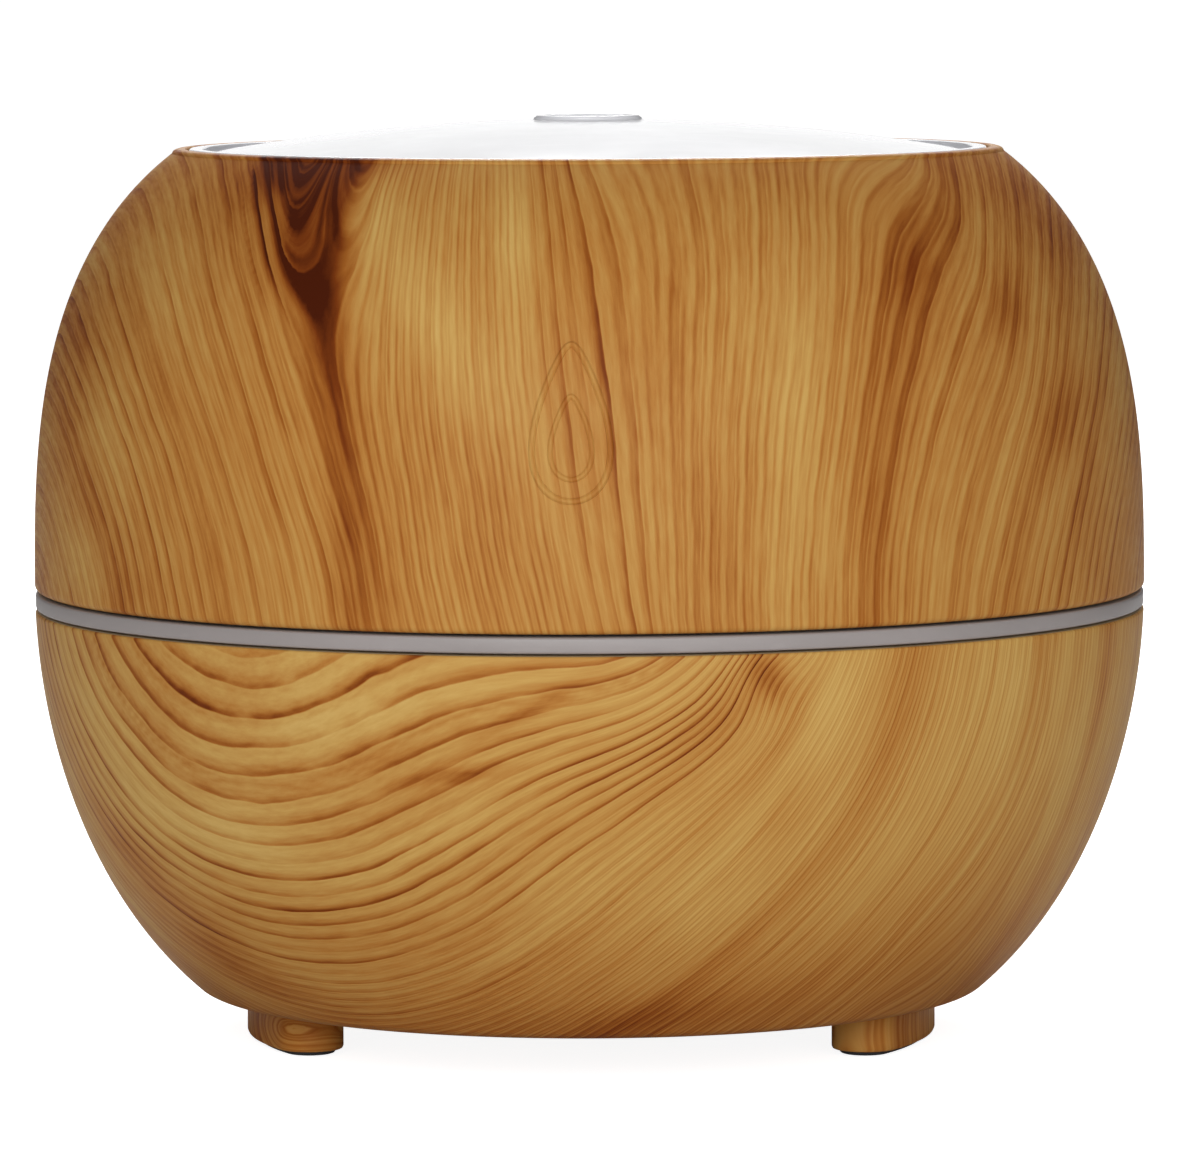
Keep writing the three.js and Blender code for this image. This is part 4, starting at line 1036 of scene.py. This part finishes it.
def to_key_seat(made):
    """Places a key drawn with +Y up and +Z out of the wall."""
    tilt = np.radians(BUTTON_TILT)
    out = Vector((0, np.cos(tilt), -np.sin(tilt)))
    up = Vector((0, np.sin(tilt), np.cos(tilt)))
    across = up.cross(out)
    spread = Matrix((across, up, out)).transposed().to_4x4()
    made.data.transform(Matrix.Translation((0, bowl_radius(BUTTON_Z), BUTTON_Z)) @ spread)
    return made


gloss_key = moulded("gloss_white_key", display(238, 238, 240), 0.2, depth=0.001, Coat_Weight=0.3)
for node, x in (("mist_button", -BUTTON_X), ("light_button", BUTTON_X)):
    made = to_key_seat(key(f"{node}_key", -x))
    dress(made, node, "gloss_white", gloss_key, node)

# ---------------------------------------------------------------------------------------------
# Power inlet: a round black panel socket at the bottom of its pocket in the rear wall, with a centre
# pin for the plug and a nut on its thread inside.

black = moulded("black_nylon", display(30, 30, 32), 0.45, 2600.0, 0.012)
inlet_outline = np.concatenate([
    np.array([(0, 36), (3.6, 36), (3.9, 36.3), (3.9, 46.8), (5.4, 46.8), (5.4, 47.6)]) * MM,
    bend((5.1 * MM, 47.7 * MM), 0.3 * MM, 0, 90, 5),
    bend((3.1 * MM, 47.65 * MM), 0.35 * MM, 90, 180, 5),
    np.array([(2.75, 38), (1.05, 38), (1.05, 46.3), (0.9, 46.7), (0.6, 46.9), (0.3, 47.0), (0, 47.0)]) * MM])
inlet = turn("inlet_socket", inlet_outline, 72)
tabs = [stack("tab", rectangle((x - 0.9 * MM, x + 0.9 * MM), (-0.3 * MM, 0.3 * MM)),
              [(30.5 * MM, 0), (36.2 * MM, 0)]) for x in (-2 * MM, 2 * MM)]
to_rear(carve(inlet, "UNION", tabs))
dress(inlet, "base", "black_plastic", black, "dc_jack")
bare_metal = moulded("plated_contacts", display(196, 196, 192), 0.25, 2200.0, 0.003, 0.5, Metallic=1.0)
second_finish(inlet, bare_metal, lambda x, y, z: (y < 35.9 * MM) | ((np.hypot(x, z - JACK_Z) < 1.2 * MM)
                                                                     & (y > 38.2 * MM)))

# ---------------------------------------------------------------------------------------------
# Inside the base: the fan, the clamp ring, the switches, the nut, the two circuit boards with their
# parts, and the leads. Each keeps the shape it was built with and gets its own finish.


def finish_node(node, material):
    """Gives a CAD node its finish."""
    nodes[node].data.materials.clear()
    nodes[node].data.materials.append(material)


def circuit_board():
    """Green solder mask over copper tracks on a square raster, with tinned pads."""
    material, tree, shader = plain_material("green_circuit_board", display(30, 104, 62), 0.35)
    w = Wiring(tree)
    place = w.add("TexCoord").outputs["Object"]
    tracks = w.add("TexBrick", offset=0.5, squash=0.6)
    w.feed(tracks.inputs["Vector"], place)
    for socket, value in (("Scale", 260.0), ("Mortar Size", 0.06), ("Bias", 0.0)):
        tracks.inputs[socket].default_value = value
    pads = w.add("TexVoronoi", feature="DISTANCE_TO_EDGE")
    w.feed(pads.inputs["Vector"], place)
    pads.inputs["Scale"].default_value = 330.0
    is_pad = w.span(pads.outputs["Distance"], 0.36, 0.40)
    lines = w.tint((*display(26, 96, 56), 1), tracks.outputs["Fac"], (*display(52, 138, 84), 1))
    w.feed(shader.inputs["Base Color"], w.tint(lines, is_pad, (*display(196, 196, 186), 1)))
    w.feed(shader.inputs["Roughness"], w.span(w.noise(place, 400.0), 0.3, 0.7, 0.28, 0.42))
    w.feed(shader.inputs["Normal"], w.bump(tracks.outputs["Fac"], 0.02 * MM))
    return material


def copper_winding():
    """Enamelled copper wire wound close: fine ribs up the coil, with painted shade in the grooves and a
    painted highlight on the crests.
    """
    material, tree, shader = plain_material("enamelled_copper", display(150, 78, 34), 0.3)
    w = Wiring(tree)
    rib = w.add("TexWave", bands_direction="Z")
    w.feed(rib.inputs["Vector"], w.add("TexCoord").outputs["Object"])
    rib.inputs["Scale"].default_value = 700.0
    rib.inputs["Distortion"].default_value = 0.4
    # Painted light: the rib colour is darker in the grooves and lighter on the crests.
    painted_groove_shade, painted_crest_highlight = (*display(96, 44, 18), 1), (*display(186, 104, 50), 1)
    w.feed(shader.inputs["Base Color"], w.tint(painted_groove_shade, rib.outputs["Fac"], painted_crest_highlight))
    w.feed(shader.inputs["Normal"], w.bump(rib.outputs["Fac"], 0.08 * MM))
    shader.inputs["Metallic"].default_value = 0.5
    return material


def printed_part(name, body, print_colour):
    """A moulded component with pale marks printed on it: only dashes and bars."""
    material, tree, shader = plain_material(name, body, 0.4)
    w = Wiring(tree)
    place = w.add("TexCoord").outputs["Object"]
    marks = w.add("TexBrick", offset=0.3)
    w.feed(marks.inputs["Vector"], place)
    for name, value in (("Scale", 900.0), ("Mortar Size", 0.11), ("Brick Width", 1.3), ("Row Height", 0.6)):
        marks.inputs[name].default_value = value
    region = w.span(w.noise(place, 240.0, 1.0), 0.52, 0.56)
    mask = w.times(w.math("SUBTRACT", 1.0, marks.outputs["Fac"]), region)
    w.feed(shader.inputs["Base Color"], w.tint((*body, 1), w.times(mask, 0.4), (*print_colour, 1)))
    w.feed(shader.inputs["Normal"], w.bump(w.noise(place, 2600.0), 0.01 * MM))
    return material


board = circuit_board()
component = printed_part("black_component", display(34, 35, 40), display(170, 170, 168))
aluminium = moulded("extruded_aluminium", display(176, 180, 184), 0.35, 1500.0, 0.006, 0.6, Metallic=1.0)
lens = moulded("led_lens", display(240, 228, 170), 0.22, depth=0.002, Subsurface_Weight=0.3,
               Subsurface_Radius=(0.002, 0.002, 0.002))
black_lead = moulded("black_lead_insulation", display(26, 26, 28), 0.5, 1500.0, 0.01)
red_lead = moulded("red_lead_insulation", display(168, 34, 30), 0.5, 1500.0, 0.01)
finishes = {
    board: ("main_board", "led_board", "key_board"),
    component: ("capacitor_1", "capacitor_2", "driver_chip", "power_transistor", "mist_switch",
                "light_switch"),
    copper_winding(): ("choke_coil",),
    aluminium: ("heat_sink",),
    zinc: ("jack_nut",),
    black: ("fan_frame", "fan_rotor"),
    milky: ("transducer_clamp", "fan_header", "jack_header", "disc_header"),
    lens: tuple(f"led_{i + 1}" for i in range(6)),
    black_lead: ("fan_lead", "disc_lead", "led_lead", "key_lead"),
    red_lead: ("jack_lead",),
}
for material, names in finishes.items():
    for node in names:
        finish_node(node, material)

sizes = {"cad": [list(corner) for corner in cad_box], "visual": [list(corner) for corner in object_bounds()]}
